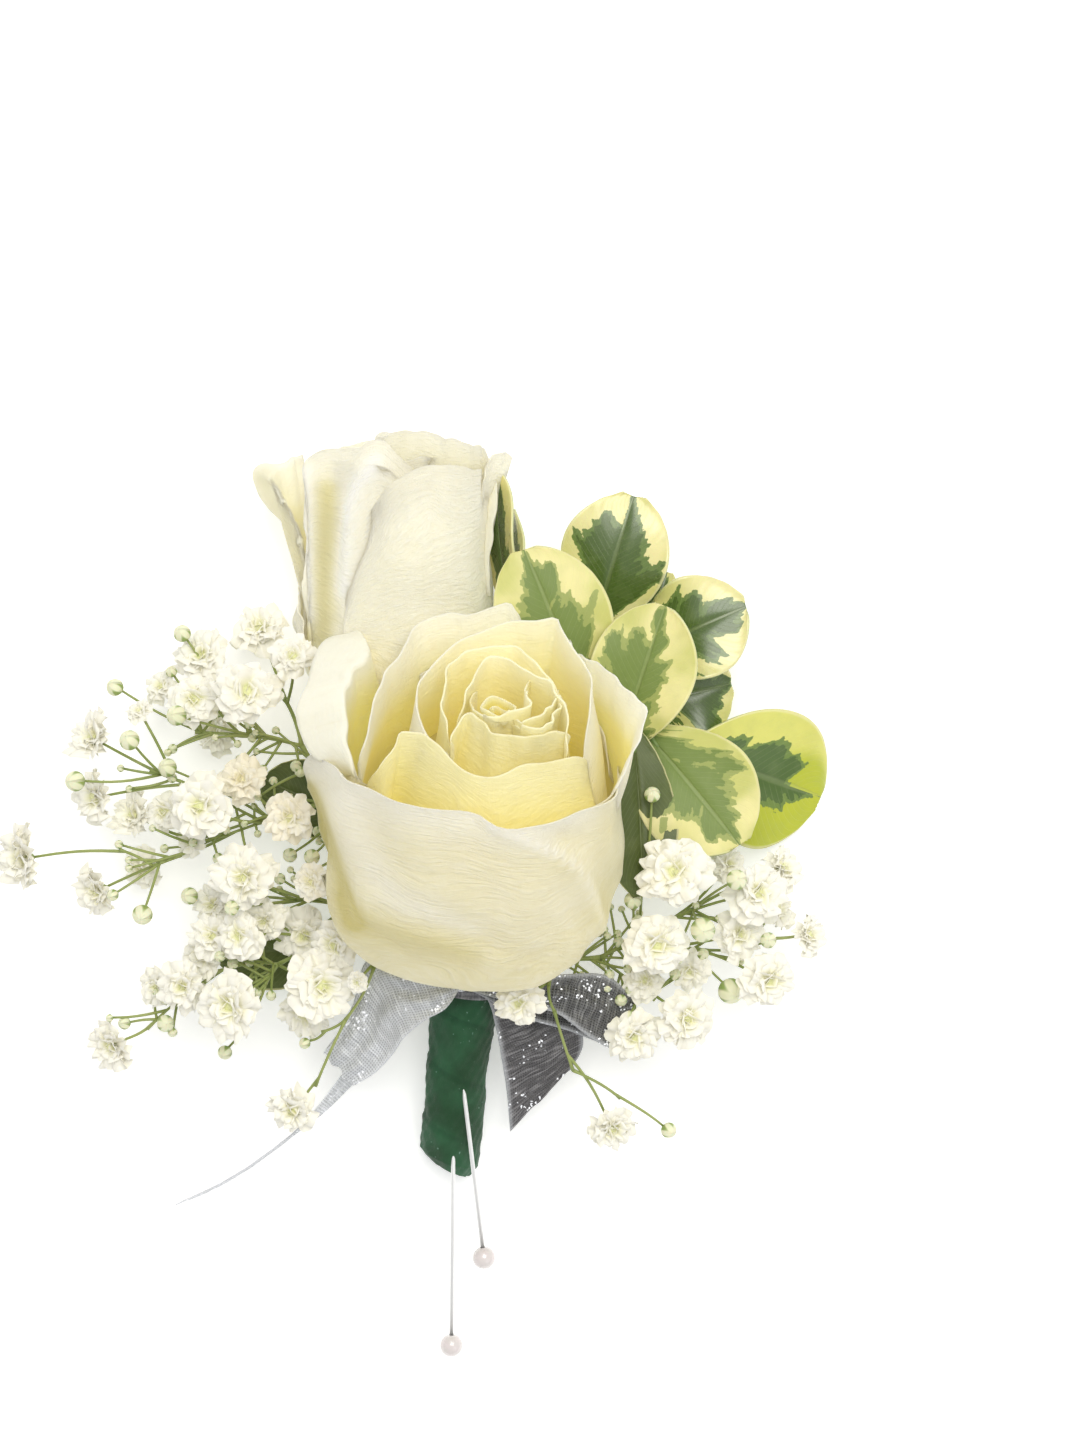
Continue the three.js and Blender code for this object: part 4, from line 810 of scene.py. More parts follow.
FRONT_PETALS = [
    # The big one in front.
    front_petal(
        20.6,
        (628, 765, 29), (628, 778, 33), (623, 794, 35.5), (609, 804, 36.6), (592, 812, 37.2),
        (559, 824, 38), (529, 826, 39), (502, 823, 40), (468, 813, 41.3), (440, 810, 41.8),
        (419, 809, 42), (398, 805, 42), (382, 797, 41.5), (366, 786, 41), (346, 776, 40),
        (332, 765, 38.5), (315, 754, 36), (309, 765, 32), (307, 790, 27),
        swell=[(150, 14, 34, 12, 3.0), (68, 5, 24, 6, 1.4), (100, 22, 18, 9, 0.5), (12, 22, 34, 16, -2.0)],
        creases=[
            ([(315, 765), (334, 792), (344, 821), (358, 861), (366, 896)], 12, 1.2),
            ([(300, 790), (318, 830), (332, 880), (345, 910)], 10, -0.8),
            ([(494, 824), (548, 851), (575, 869), (591, 896), (597, 926)], 9, 0.8),
            ([(560, 840), (600, 860), (612, 900)], 12, -0.7),
            ([(380, 850), (430, 900), (480, 945)], 22, -0.5),
            ([(388, 880), (440, 897), (500, 920), (550, 945), (585, 965)], 7, 0.35),
            ([(345, 905), (404, 932), (472, 955), (534, 975)], 8, 0.5),
            ([(420, 925), (480, 942), (540, 962)], 6, -0.3),
            ([(440, 835), (500, 860), (560, 900), (590, 940)], 9, -0.3),
            ([(470, 985), (500, 955), (540, 940)], 7, 0.3),
        ],
        folds=[
            ([(314, 790), (324, 830), (339, 880), (352, 920)], 13, 1.0),
            ([(344, 901), (360, 923), (400, 936), (467, 952)], 16, 0.6),
            ([(560, 862), (590, 880), (606, 915)], 9, 0.3),
            ([(610, 800), (614, 860), (602, 915)], 18, 0.4),
            ([(300, 770), (306, 800), (320, 850)], 8, 0.5),
            ([(494, 822), (548, 849), (577, 869), (594, 896), (601, 926)], 5, -0.5),
            ([(350, 800), (365, 850), (400, 900), (470, 935)], 14, -0.35),
        ],
    ),
    # Right, with a pointed lip.
    front_petal(
        19.6,
        (570, 640, 36), (583, 658, 39), (599, 663, 40), (615, 674, 40.5), (628, 685, 41),
        (639, 700, 41.5), (651, 712, 41.5), (647, 735, 40), (639, 754, 39), (628, 780, 36),
        (614, 803, 33.5), (596, 813, 32), (576, 822, 30),
        curl=0.9, swell=[(12, 22, 34, 16, -2.2)], pale=0.15,
    ),
    # Left, rolled out.
    front_petal(
        18.6,
        (372, 790, 30), (360, 781, 36), (350, 755, 39.5), (344, 730, 41), (343, 709, 42),
        (346, 687, 42), (352, 671, 41.5), (363, 660, 41), (368, 650, 40), (363, 638, 39),
        (358, 632, 37),
        curl=0.0, pale=0.5,
        edge=FRONT.seen(
            (372, 792, 28), (346, 776, 35), (332, 765, 37), (314, 754, 38), (303, 738, 38.5),
            (297, 719, 39), (300, 703, 39), (307, 684, 39), (313, 662, 38.5), (328, 642, 37),
            (358, 631, 36),
        ),
    ),
    # Behind, from the left to the back.
    front_petal(
        18.2,
        (360, 781, 33), (359, 762, 38), (363, 741, 41), (371, 714, 42), (379, 687, 42.5),
        (384, 672, 42.5), (396, 658, 42.5), (406, 642, 42), (414, 628, 42), (430, 618, 42),
        (451, 612, 42), (468, 614, 42), (492, 607, 42), (509, 603, 42), (516, 613, 41),
        (522, 622, 38),
        curl=0.9, pale=0.35,
    ),
    dict(bowl=19.0, rim=FRONT.arc(-82, 70, 35.5, 19.8, 0.25, -1.4)),
    # Wrapped round the heart, open at the front.
    heart_petal(
        15.6,
        (452, 759, 39), (441, 751, 42), (426, 733, 44), (418, 706, 44), (415, 684, 44),
        (430, 668, 44), (451, 647, 44), (468, 636, 43.5), (492, 627, 43.5), (516, 621, 43.5),
        (537, 619, 43.5), (556, 617, 43), (561, 627, 43), (568, 642, 43), (575, 652, 43),
        (584, 660, 43), (591, 676, 43), (593, 695, 43), (592, 711, 42.5), (588, 730, 41.5),
        (584, 746, 40), (579, 768, 37),
        yolk=0.5, curl=0.5,
    ),
    # The broad one in front of the heart.
    heart_petal(
        15.2,
        (590, 762, 37), (577, 757, 40), (564, 759, 41), (532, 765, 42.5), (505, 774, 43),
        (484, 776, 43), (462, 771, 43.5), (446, 755, 44), (433, 743, 44.3), (422, 733, 44.5),
        (403, 732, 44), (395, 743, 42.5), (388, 755, 41), (377, 772, 38.5), (366, 785, 35),
    ),
    heart_petal(
        9.8,
        (450, 754, 40), (446, 730, 43.5), (443, 709, 44.5), (443, 687, 44.7), (446, 668, 44.7),
        (457, 658, 44.5), (473, 650, 44.3), (494, 645, 44.3), (513, 644, 44.3), (532, 660, 44),
        (548, 675, 43.5), (560, 690, 42), (566, 705, 40),
    ),
    heart_petal(
        8.8,
        (457, 730, 41), (462, 706, 44), (467, 687, 45), (478, 668, 45), (490, 658, 45),
        (505, 656, 45), (521, 666, 45), (548, 682, 45), (561, 695, 45), (567, 706, 44.5),
        (567, 730, 43), (567, 757, 40),
    ),
    heart_petal(
        8.0,
        (568, 738, 41), (565, 733, 43), (537, 735, 44.3), (513, 737, 44.8), (494, 735, 45),
        (484, 722, 45.5), (467, 714, 45.5), (458, 725, 44.5), (453, 741, 43), (451, 754, 40),
    ),
    heart_petal(
        5.6,
        (562, 697, 42), (559, 708, 44.6), (548, 725, 45), (524, 728, 45.3), (506, 722, 43),
    ),
    heart_petal(
        4.6,
        (559, 690, 42), (556, 702, 45), (537, 717, 45.5), (521, 722, 45.6), (504, 717, 43),
    ),
    heart_petal(
        3.4,
        (530, 680, 42), (527, 693, 45.8), (530, 706, 45.8), (508, 714, 46.2), (484, 716, 46),
        (470, 706, 44), (476, 690, 42),
    ),
]
REAR_PETALS = [
    # The one nearest to the viewer.
    rear_petal(
        13.1,
        (488, 520, 12), (488, 490, 15), (485, 471, 17.5), (470, 469, 21.5), (452, 466, 24.5),
        (443, 465, 25.6), (431, 463, 26.2), (420, 467, 26.4), (408, 473, 26.2), (389, 486, 25.2),
        (374, 506, 24), (362, 525, 22.8), (353, 548, 21.6), (346, 573, 20.6),
        bulge=0.3,
        creases=[([(420, 470), (405, 520), (400, 580), (420, 640)], 20, 0.5)],
    ),
    # Behind it on the left.
    rear_petal(
        12.6,
        (412, 470, 24.4), (396, 452, 24.2), (385, 441, 23.8), (370, 442, 23.4), (355, 449, 22.8),
        (330, 448, 20.8), (318, 450, 19.6), (309, 460, 18.4), (304, 475, 17.4), (303, 495, 17),
        (305, 520, 16.8), (308, 555, 16.6), (309, 600, 16),
        bulge=0.2,
        creases=[
            ([(305, 465), (309, 520), (311, 560), (312, 620)], 5, 0.3),
            ([(330, 470), (336, 540), (334, 620)], 12, -0.6),
            ([(360, 456), (356, 490), (350, 530), (343, 580)], 8, 0.5),
        ],
        folds=[
            ([(325, 490), (324, 540), (322, 590), (322, 640)], 12, 0.75),
            ([(366, 486), (352, 515), (345, 550), (340, 580)], 5, 0.25),
            ([(375, 462), (358, 490), (347, 530), (341, 590)], 9, -0.8),
            ([(306, 470), (307, 500), (309, 560), (311, 620)], 6, -0.6),
        ],
    ),
    # Left, flared out.
    rear_petal(
        13.2,
        (306, 560, 14.5), (296, 523, 14.5), (288, 506, 14.8), (278, 491, 15), (272, 477, 14.6),
        (282, 468, 12.5), (303, 458, 9.5),
        curl=0.0, bulge=0.0,
        edge=REAR.seen_at(
            (302, 552, 12.5), (288, 524, 11.5), (269, 511, 11), (258, 487, 11.5), (255, 471, 11.5),
            (278, 466, 9.5), (303, 457, 8),
        ),
        folds=[([(262, 480), (283, 520), (300, 570)], 16, 0.4)],
    ),
    # Right, with a rolled tip.
    rear_petal(
        11.0,
        (474, 560, 9), (477, 530, 11), (480, 506, 12.5), (487, 489, 13.5), (500, 477, 13),
        (509, 466, 12.5), (512, 457, 13), (504, 452, 15), (493, 458, 17), (487, 470, 18),
        (482, 480, 18.5),
        curl=0.0, bulge=0.0,
    ),
    dict(bowl=14.0, rim=REAR.arc(192, 34, 22, 14.2, 0.35)),
    dict(bowl=12.1, rim=REAR.arc(-20, 42, 39.2, 13.6, 0.45), curl=2.0),
    dict(bowl=13.8, rim=REAR.arc(-90, 50, 37.5, 13.8, 0.15)),
    # The closed bud that stands above them.
    rear_petal(
        11.2,
        (488, 470, 14), (485, 447, 16.5), (470, 445, 19.5), (450, 438, 21), (431, 433, 21.6),
        (408, 431, 21.6), (393, 431, 21.2), (385, 438, 20.6), (380, 452, 20),
        bulge=0.4, pale=0.2,
        folds=[([(400, 440), (430, 448), (470, 458)], 24, 0.2)],
    ),
    dict(bowl=10.4, rim=REAR.arc(-90, 88, 41.6, 10.8, 0.1)),
    dict(bowl=9.4, rim=REAR.arc(150, 75, 40.8, 9.6, 0.1)),
    dict(bowl=8.2, rim=REAR.arc(40, 85, 41.2, 8.0, 0.1)),
    dict(bowl=6.0, rim=REAR.arc(200, 85, 41.4, 5.6, 0.1)),
]


def heart_part(rose, reach, turns, pale=0.0):
    """The tight spiral in the middle of a rose: its radius grows with the turns up to the reach."""
    right, front = rose.heart
    t, v = np.meshgrid(np.linspace(0, 1, 120 * turns), np.linspace(0, 1, 14))
    angle = 2 * np.pi * turns * t + 2.2
    radius = 0.4 + (reach - 0.4) * t**0.8
    lobe = 0.9 * np.sin(0.9 * angle) + 0.4 * np.sin(3.1 * angle) - 0.8 * (1 - t)
    up = mix(rose.high - 12, rose.high + 2.7 + lobe, v)
    radius = radius * mix(0.85, 1, v) + 0.35 * smooth(v, 0.75, 1) + 0.15 * np.sin(2.3 * angle)
    sway = up / rose.high
    grid = rose.at(radius * np.cos(angle) + right * sway, radius * np.sin(angle) + front * sway, up)
    # The field fold paints shade deep in the spiral, less towards its top and less on pale hearts.
    fields = {"rise": mix(0.25, 0.9, v**6) + 0.35 * pale, "fold": 0.3 * (1 - 0.7 * v) * (1 - pale)}
    return sheet(grid, 0.22, PETAL, across=np.sin(angle), seed=3.3, yolk=1.0 - pale, pale=pale, **fields)


def floor_part(rose, fill, radius, pale=0.0):
    """The bottom of the rose, where its petals come together: a lid with painted shade, and the bowl under
    it.
    """
    sides = 60
    out, up = bowl_curve(rose, np.linspace(0.36, 0.1, 14), 3, rose.core - 2)
    lid = [(fill, 0.01), (fill, radius - 1.5), (fill - 1, radius - 0.8)]
    profile = [*lid, *zip(up + 0.3, out), (up[-1] + 0.2, 0.01)]
    top = np.repeat(np.arange(len(profile)) <= len(lid), sides)
    # The lid has the inside's colour and painted shade through the field fold.
    dim = {"inner": top, "rise": 0.35, "pale": pale, "fold": 0.8 * top}
    return spin(rose, profile, sides, PETAL, lambda front, up: press(rose, front, up), **dim)


def bloom_parts(rose, petals, seed, heart, floor, pale=0.0):
    """A rose's petals, each with a seed of its own, its heart and its floor."""
    parts = [petal_part(rose, seed + n, **{"pale": pale, **row}) for n, row in enumerate(petals)]
    return [*parts, heart_part(rose, *heart, pale), floor_part(rose, *floor, pale)]


def lay_down(parts):
    """Parts with every point that is lower than 0.05 mm above the table raised to that."""
    for p in parts:
        p["points"][:, 2] = np.maximum(p["points"][:, 2], 0.05 - SHIFT[2])
    return parts


front_parts = bloom_parts(FRONT, FRONT_PETALS, 1, (2.7, 2), (29, 15.0))
add_piece("front_rose_petals", front_parts, ["rose_front_bloom"])
rear_parts = bloom_parts(REAR, REAR_PETALS, 21, (4.2, 3), (27, 10.6), 0.9)
add_piece("rear_rose_petals", lay_down(rear_parts), ["rose_rear_bloom"])

# The taped stem wrap, from the tie to its end. Its rows are the way down, half its width, half
# its depth, and how far its end slants.
HANDLE_TOP = np.array([1.6, 1.9, 10.9])
HANDLE_END = np.array([-1.2, -26.2, 3.7])
HANDLE_ALONG = unit(HANDLE_END - HANDLE_TOP)
HANDLE_ACROSS = unit(np.array([1.0, 0, 0]) - HANDLE_ALONG[0] * HANDLE_ALONG)
HANDLE_UP = np.cross(HANDLE_ALONG, HANDLE_ACROSS)
WRAP_LONG = 29.0
WRAP_ROWS = [
    (0, 4.8, 4.5, 0), (6, 4.8, 4.4, 0), (12, 4.3, 4.2, 0), (18, 4.2, 4.2, 0), (24, 4.3, 4.2, 0.3),
    (27.6, 4.2, 4.1, 1.0), (28.9, 3.3, 3.3, 1.3),
]


def handle_point(down, across, up):
    """The top of the wrap plus down, across and up, each along its own way."""
    down, across, up = (np.asarray(value, float)[..., None] for value in (down, across, up))
    return HANDLE_TOP + down * HANDLE_ALONG + across * HANDLE_ACROSS + up * HANDLE_UP


def wrap_part():
    """The wrap's skin: ellipses down the handle that shrink to a point at both ends.

    The tape goes round it as a screw, one turn in 8.5 mm, and steps out where a lap begins.
    """
    rows, sides = 190, 112
    s = np.linspace(0, 1, rows)
    down = np.interp(s, [0, 0.04, 0.9, 0.94, 0.97], [0, 0, 27.6, 28.9, WRAP_LONG])
    shrink = np.interp(s, [0, 0.04, 0.94, 0.97, 1], [0, 1, 1, 0.75, 0])[:, None]
    place, *sizes = np.array(WRAP_ROWS).T
    wide, deep, slant = (np.interp(down, place, size)[:, None] for size in sizes)
    turn = np.linspace(0, 2 * np.pi, sides, endpoint=False)
    down, turn = np.meshgrid(down, turn, indexing="ij")
    lap_place = (down / 8.5 + turn / (2 * np.pi)) % 1
    step = 0.2 * smooth(lap_place, 0.0, 0.1) * (1 - lap_place)
    wrinkle = 0.06 * np.sin(9 * turn + 1.1 * down) + 0.05 * np.sin(17 * turn - 2.3 * down)
    grow = step + wrinkle + 0.10 * np.sin(3 * turn + 0.35 * down) - 0.1
    across = (wide + grow) * np.cos(turn) * shrink
    up = (deep + grow) * np.sin(turn) * shrink
    grid = handle_point(down + slant * across / wide, across, up)
    # The band along each lap's edge, which carries painted shade and a step in the bump.
    lap = np.clip(1 - smooth(lap_place, 0.0, 0.10) + smooth(lap_place, 0.97, 1.0), 0, 1)
    fields = {"along": (down / WRAP_LONG).ravel(), "across": np.cos(turn).ravel(), "lap": lap.ravel()}
    return part(grid.reshape(-1, 3), grid_faces(rows, sides, closed=True)[:, ::-1], TAPE, **fields)


add_piece("taped_wrap", [wrap_part()], ["stem_wrap"])

# Where each stem goes into the wrap, across and up, and its radius there.
SOCKETS = {
    "front": (1.4, 1.2, 1.3),
    "rear": (-1.6, -0.6, 1.2),
    "leaf_upper": (2.6, -1.9, 0.7),
    "leaf_lower": (0.4, -2.9, 0.7),
    "leaf_left": (-1.9, -3.1, 0.6),
    "gyp_left_upper": (-3.4, 1.0, 0.45),
    "gyp_left_lower": (-1.9, 2.6, 0.45),
    "gyp_right": (3.8, -0.3, 0.45),
}


def socket_path(name):
    """A stem's places in its socket, from deep in the wrap to just above it."""
    across, up, _ = SOCKETS[name]
    return [handle_point(down, across, up) for down in (5.6, 0.0, -0.8)]


def sepal_part(rose, angle, n):
    """A pointed sepal under a rose: a sine's width along its length, bent up and waved."""
    j, i = np.meshgrid(np.linspace(0, 1, 22), np.linspace(-1, 1, 11), indexing="ij")
    lift = mix(-1.5, -0.9, j) - 0.5 * i**2 + 0.4 * np.sin(4 * j + n)
    out = mix(2.4, 7.6, j)
    side = i * (1.75 * np.sin(np.pi * mix(0.3, 0.985, j)) ** 0.8)
    right = out * math.cos(angle) - side * math.sin(angle)
    front = out * math.sin(angle) + side * math.cos(angle)
    return sheet(rose.at(right, front, lift), 0.4, SEPAL)


def calyx_parts(rose, name, path, first):
    """The hip under a rose, its five sepals and its stem, which runs on into the wrap."""
    radius = SOCKETS[name][2]
    profile = spline([[-0.3, 3.3], [-1.6, 3.7], [-3.4, 2.9], [-5.0, radius + 0.35], [-6, radius]], 20)
    sepals = [sepal_part(rose, math.radians(first + 72 * n), n) for n in range(5)]
    line = spline([rose.at(0, 0, -4.0), *path, *reversed(socket_path(name))], 40)
    return [spin(rose, profile, 28, SEPAL), *sepals, tube(line, radius, SEPAL, 14)]


for rose, name, path, first in [
    (FRONT, "front", [], 20),
    (REAR, "rear", [(-8.0, 24, 6.4), (-5.5, 12, 7.4), (-1.5, 5.5, 9.3)], 18),
]:
    parts = calyx_parts(rose, name, path, first)
    add_piece(f"{name}_rose_calyx", parts, [f"rose_{name}_calyx"])

# Leaves. Rows: base, tip, half width, lift of the middle, roll about the midrib in degrees,
# cupping of the blade, wave of the edge and its phase.
LEAF_UPPER = [
    [(19.5, 49.5, 11.5), (24.9, 68.0, 15), 7.7, 1.6, 6, 0.8, 0.7, 0.4],
    [(18.2, 38.6, 16.5), (9.6, 60.4, 21.5), 8.2, 1.8, -6, 0.8, 0.6, 1.9],
    [(23.0, 32.8, 17.0), (29.2, 52.6, 22.0), 7.4, 1.6, 8, 0.8, 0.6, 3.1],
    [(25.6, 45.8, 10.5), (40.6, 52.6, 14), 7.4, 1.5, 6, 0.8, 0.8, 2.2],
    [(27.0, 39.4, 8.0), (38.6, 42.0, 7.2), 6.9, 0.8, -8, 0.5, 0.6, 0.9],
    [(8.2, 51.0, 12.0), (6.0, 71.4, 12), 4.5, 0.6, 58, 0.5, 0.4, 1.2],
    [(8.4, 50.0, 7.0), (8.3, 66.5, 7.5), 4.4, 0.4, 66, 0.4, 0.4, 2.6],
    [(23.6, 42.6, 9.4), (29.4, 57.6, 10.6), 4.6, 1.0, -14, 0.6, 0.5, 1.1],
]
LEAF_LOWER = [
    [(32.2, 33.0, 10.5), (51.4, 26.0, 0.2), 10.2, 1.6, -4, 0.9, 0.5, 1.4],
    [(26.2, 35.4, 17.0), (39.4, 19.4, 20.5), 8.6, 1.6, 4, 0.8, 0.6, 2.4],
    [(24.6, 36.0, 20.4), (25.9, 12.4, 21.4), 5.4, 1.0, 14, 0.6, 0.4, 0.6],
]
LEAF_LEFT = [
    [(-15.0, 5.2, 3.6), (-33.6, 3.4, 0.6), 5.6, 0.9, 0, 0.4, 0.3, 0.8],
    [(-13.6, 22.0, 4.0), (-27.2, 28.4, 3.0), 5.4, 0.9, -4, 0.4, 0.4, 2.0],
]


def leaf_grid(row, i, j):
    """A leaf's lower face at i across (0 to 1) and j along (0 to 1).

    Its half width is a power of a sine along the midrib. The middle is lifted by a sine, the
    edges are cupped by the square of the way across, and waved along it.
    """
    base, tip, half, lift, roll, cup, wave, phase = row
    start, end = np.array(base, float), np.array(tip, float)
    along = unit(end - start)
    flat = unit(np.array([along[1], -along[0], 0]))
    up = unit(np.cross(flat, along))
    side = flat * math.cos(math.radians(roll)) + up * math.sin(math.radians(roll))
    out = unit(np.cross(side, along))
    width = half * np.sin(np.pi * mix(0.012, 0.985, j) ** 1.25) ** 0.55
    u = 2 * i - 1
    ripple = np.sin(3 * np.pi * j + phase + np.where(u > 0, 1.7, 0))
    rise = lift * np.sin(np.pi * j) + cup * u * u * (width / half) + wave * u * u * ripple
    line = start + (end - start) * j[..., None]
    return line + (width * u)[..., None] * side + rise[..., None] * out


def leaf_part(row, material, seed):
    """A leaf with a groove along its midrib and ripples along its veins."""
    t, i = np.meshgrid(np.linspace(0, 1, 60), np.linspace(0, 1, 41), indexing="ij")
    j = mix(t, np.sin(t * np.pi / 2), 0.6)
    grid = leaf_grid(row, i, j)
    u = 2 * i - 1
    grid[..., 2] -= 0.25 * np.exp(-((u / 0.09) ** 2)) * np.sin(np.pi * j)
    grid[..., 2] += 0.02 * np.sin(58 * (1.15 * j - 0.42 * np.abs(u))) * np.abs(u)
    return sheet(grid, mix(0.45, 0.32, np.abs(u) ** 3), material, across=u, along=j, seed=seed)


def leaf_stalk(start, row):
    """A tapered stalk from a place on the twig to the leaf's foot and on along its midrib."""
    foot, rib = leaf_grid(row, np.full(2, 0.5), np.array([0.01, 0.16])) + (0, 0, 0.1)
    line = spline([start, mix(np.array(start), foot, 0.5) + (0, 0, 0.3), foot, rib], 16)
    return tube(line, np.linspace(0.6, 0.35, 16), WOODY, 10)


def sprig_parts(name, path, rows, starts, materials, thin):
    """A twig from its socket along a path, thicker at seven knots, and its leaves on stalks."""
    t = np.linspace(0, 1, 60)
    swell = 1 + 0.25 * np.exp(-(((t * 7) % 1 - 0.5) / 0.08) ** 2)
    twig = spline([*socket_path(name), *path], 60)
    parts = [tube(twig, mix(SOCKETS[name][2], thin, t) * swell, WOODY, 12)]
    for n, (row, start, material) in enumerate(zip(rows, starts, materials)):
        parts.append(leaf_part(row, material, 0.31 + 0.77 * n + len(name) * 0.19))
        parts.append(leaf_stalk(start, row))
    return parts


upper_parts = sprig_parts(
    "leaf_upper",
    [(8.5, 10, 6.5), (13, 22, 6.5), (17.5, 34, 8.0), (21, 43, 9.5), (20.6, 48.5, 11)],
    LEAF_UPPER,
    [
        (20.6, 48, 10.8), (18.1, 35.5, 8.4), (17.9, 34.8, 8.2), (21, 43, 9.5),
        (19.4, 39, 8.9), (12, 40, 9.0), (12, 40, 9.0), (20.4, 41.5, 9.2),
    ],
    [LEAF_BACK, LEAF_FRONT, LEAF_FRONT, *[LEAF_BACK] * 5],
    0.55,
)
side_twig = spline([(16.6, 31.6, 7.6), (13, 37, 8.6), (11.6, 41, 9.2)], 20)
upper_parts.append(tube(side_twig, np.linspace(0.6, 0.5, 20), WOODY, 10))
add_piece("upper_leaves", upper_parts, ["leaf_upper"])
lower_parts = sprig_parts(
    "leaf_lower",
    [(10, 7.5, 4.6), (19, 18, 4.6), (25.5, 28, 6.5), (29, 33, 9.5)],
    LEAF_LOWER,
    [(28.6, 32.6, 9.2), (26.6, 29.6, 7.2), (25.2, 27.6, 6.4)],
    [LEAF_LIME, LEAF_FRONT, LEAF_OLIVE],
    0.55,
)
add_piece("lower_leaves", lay_down(lower_parts), ["leaf_lower"])
left_parts = sprig_parts(
    "leaf_left",
    [(-4, 4.8, 5.4), (-8, 9, 4.2), (-11.6, 15, 4.0)],
    LEAF_LEFT,
    [(-8, 9, 4.2), (-11.4, 14.6, 4.0)],
    [LEAF_OLIVE, LEAF_OLIVE],
    0.5,
)
add_piece("left_leaves", left_parts, ["leaf_left"])

# Baby's breath. Each spray has forks (parent, x, y, z), flowers (fork, x, y, z, radius and how
# warm their white is), buds (fork, x, y, z, radius) and forks that bear small extra twigs. Parent
# and fork are places in the list of forks, and -1 is the end of the socket.
SPRAY_UPPER = {
    "twigs": [1, 1, 2, 4, 4, 5, 6, 7, 7, 8, 9],
    "forks": [
        (-1, -9.0, 9.0, 9.6), (0, -17.6, 25.6, 12), (1, -21.6, 33.2, 12), (2, -24.0, 39.8, 12),
        (2, -29.1, 34.7, 13), (4, -36.5, 35.1, 12), (1, -27.1, 22.5, 12), (6, -35.1, 19.7, 13),
        (6, -42.7, 29.8, 15), (7, -42.4, 16.4, 13.7), (9, -46.8, 18.7, 16),
    ],
    "flowers": [
        (3, -27.6, 49.4, 9, 4.0, 0.2), (3, -22.5, 45.5, 21, 3.1, 0.6),
        (4, -35.4, 45.5, 13, 4.0, 0.0), (4, -28.8, 40.7, 22, 4.4, 0.0),
        (5, -36.3, 39.6, 17, 3.7, 0.2), (5, -41.3, 41.3, 10, 2.5, 0.1),
        (4, -33.5, 35.1, 8, 3.2, 0.1), (8, -50.8, 34.2, 13, 3.4, 0.2),
        (8, -44.1, 37.9, 15, 1.9, 0.0), (8, -50.4, 26.0, 14, 3.1, 0.3),
        (7, -45.2, 23.4, 11, 3.0, 0.1), (7, -40.6, 23.9, 14, 2.9, 0.1),
        (6, -35.2, 24.8, 22, 4.6, 0.1), (6, -29.7, 28.5, 18, 3.2, 1.0),
        (1, -22.8, 23.4, 24, 3.5, 0.9), (6, -37.0, 19.7, 13, 2.2, 0.3),
        (10, -60.6, 17.5, 14, 3.8, 0.0), (9, -50.2, 12.9, 12, 3.2, 0.2),
        (7, -44.1, 16.0, 8, 3.1, 0.1),
    ],
    "buds": [
        (4, -38.1, 48.8, 15, 1.2), (5, -47.6, 41.3, 12, 1.2), (5, -39.8, 43.5, 12, 0.8),
        (4, -38.6, 37.4, 20, 1.4), (8, -45.2, 33.9, 19, 1.4), (8, -52.6, 28.3, 20, 1.4),
        (6, -40.0, 30.1, 17, 1.3), (7, -33.2, 17.5, 14, 0.8), (9, -43.5, 9.8, 18, 1.4),
        (1, -19.9, 17.8, 19, 1.1), (1, -23.0, 18.0, 17, 1.0),
    ],
}
SPRAY_LOWER = {
    "twigs": [2, 3, 4, 5, 5, 6, 7],
    "forks": [
        (-1, -4.5, 4.9, 13.0), (0, -9.0, 7.2, 12.6), (1, -16.2, 10.9, 11.5), (2, -23.2, 11.6, 12),
        (2, -24.8, 2.6, 14), (4, -30.2, 3.2, 12), (4, -26.6, -0.2, 15), (5, -43.4, -6.6, 9.5),
        (1, -10.4, 6.0, 18.5), (8, -11.2, 2.5, 23.5), (9, -15.2, -4.8, 21), (10, -19.5, -14.2, 17),
        (10, -18.5, -6.6, 19),
    ],
    "flowers": [
        (3, -29.1, 14.9, 22, 4.4, 0.2), (3, -33.8, 10.9, 13, 2.9, 0.0),
        (2, -19.9, 14.3, 22, 2.5, 0.8), (4, -29.9, 6.8, 20, 3.5, 0.3),
        (5, -35.0, 3.9, 14, 3.3, 0.1), (5, -37.9, -0.3, 16, 3.5, 0.1),
        (5, -41.8, -0.6, 11, 2.8, 0.2), (3, -26.5, 8.8, 17, 3.0, 0.3),
        (5, -33.6, 6.6, 17, 3.2, 0.3), (8, -16.6, 5.6, 22, 3.4, 0.4),
        (4, -21.0, -3.8, 17, 3.8, 0.3), (6, -31.2, -2.9, 20, 4.6, 0.1),
        (2, -20.9, 6.8, 15, 4.0, 0.3), (4, -18.6, 0.1, 22, 4.8, 0.2), (7, -48.4, -9.0, 9, 3.1, 0.1),
        (11, -22.5, -17.5, 16.5, 3.3, 0.2), (9, -13.4, 0.7, 26.5, 1.5, 0.3),
    ],
    "buds": [
        (7, -40.7, -5.7, 12, 1.2), (7, -46.4, -5.7, 11, 0.9), (6, -32.2, -9.6, 14, 1.0),
        (3, -30.8, 10.8, 24, 1.0), (3, -37.1, 12.2, 14, 1.2), (12, -20.9, -8.2, 17, 0.8),
    ],
}
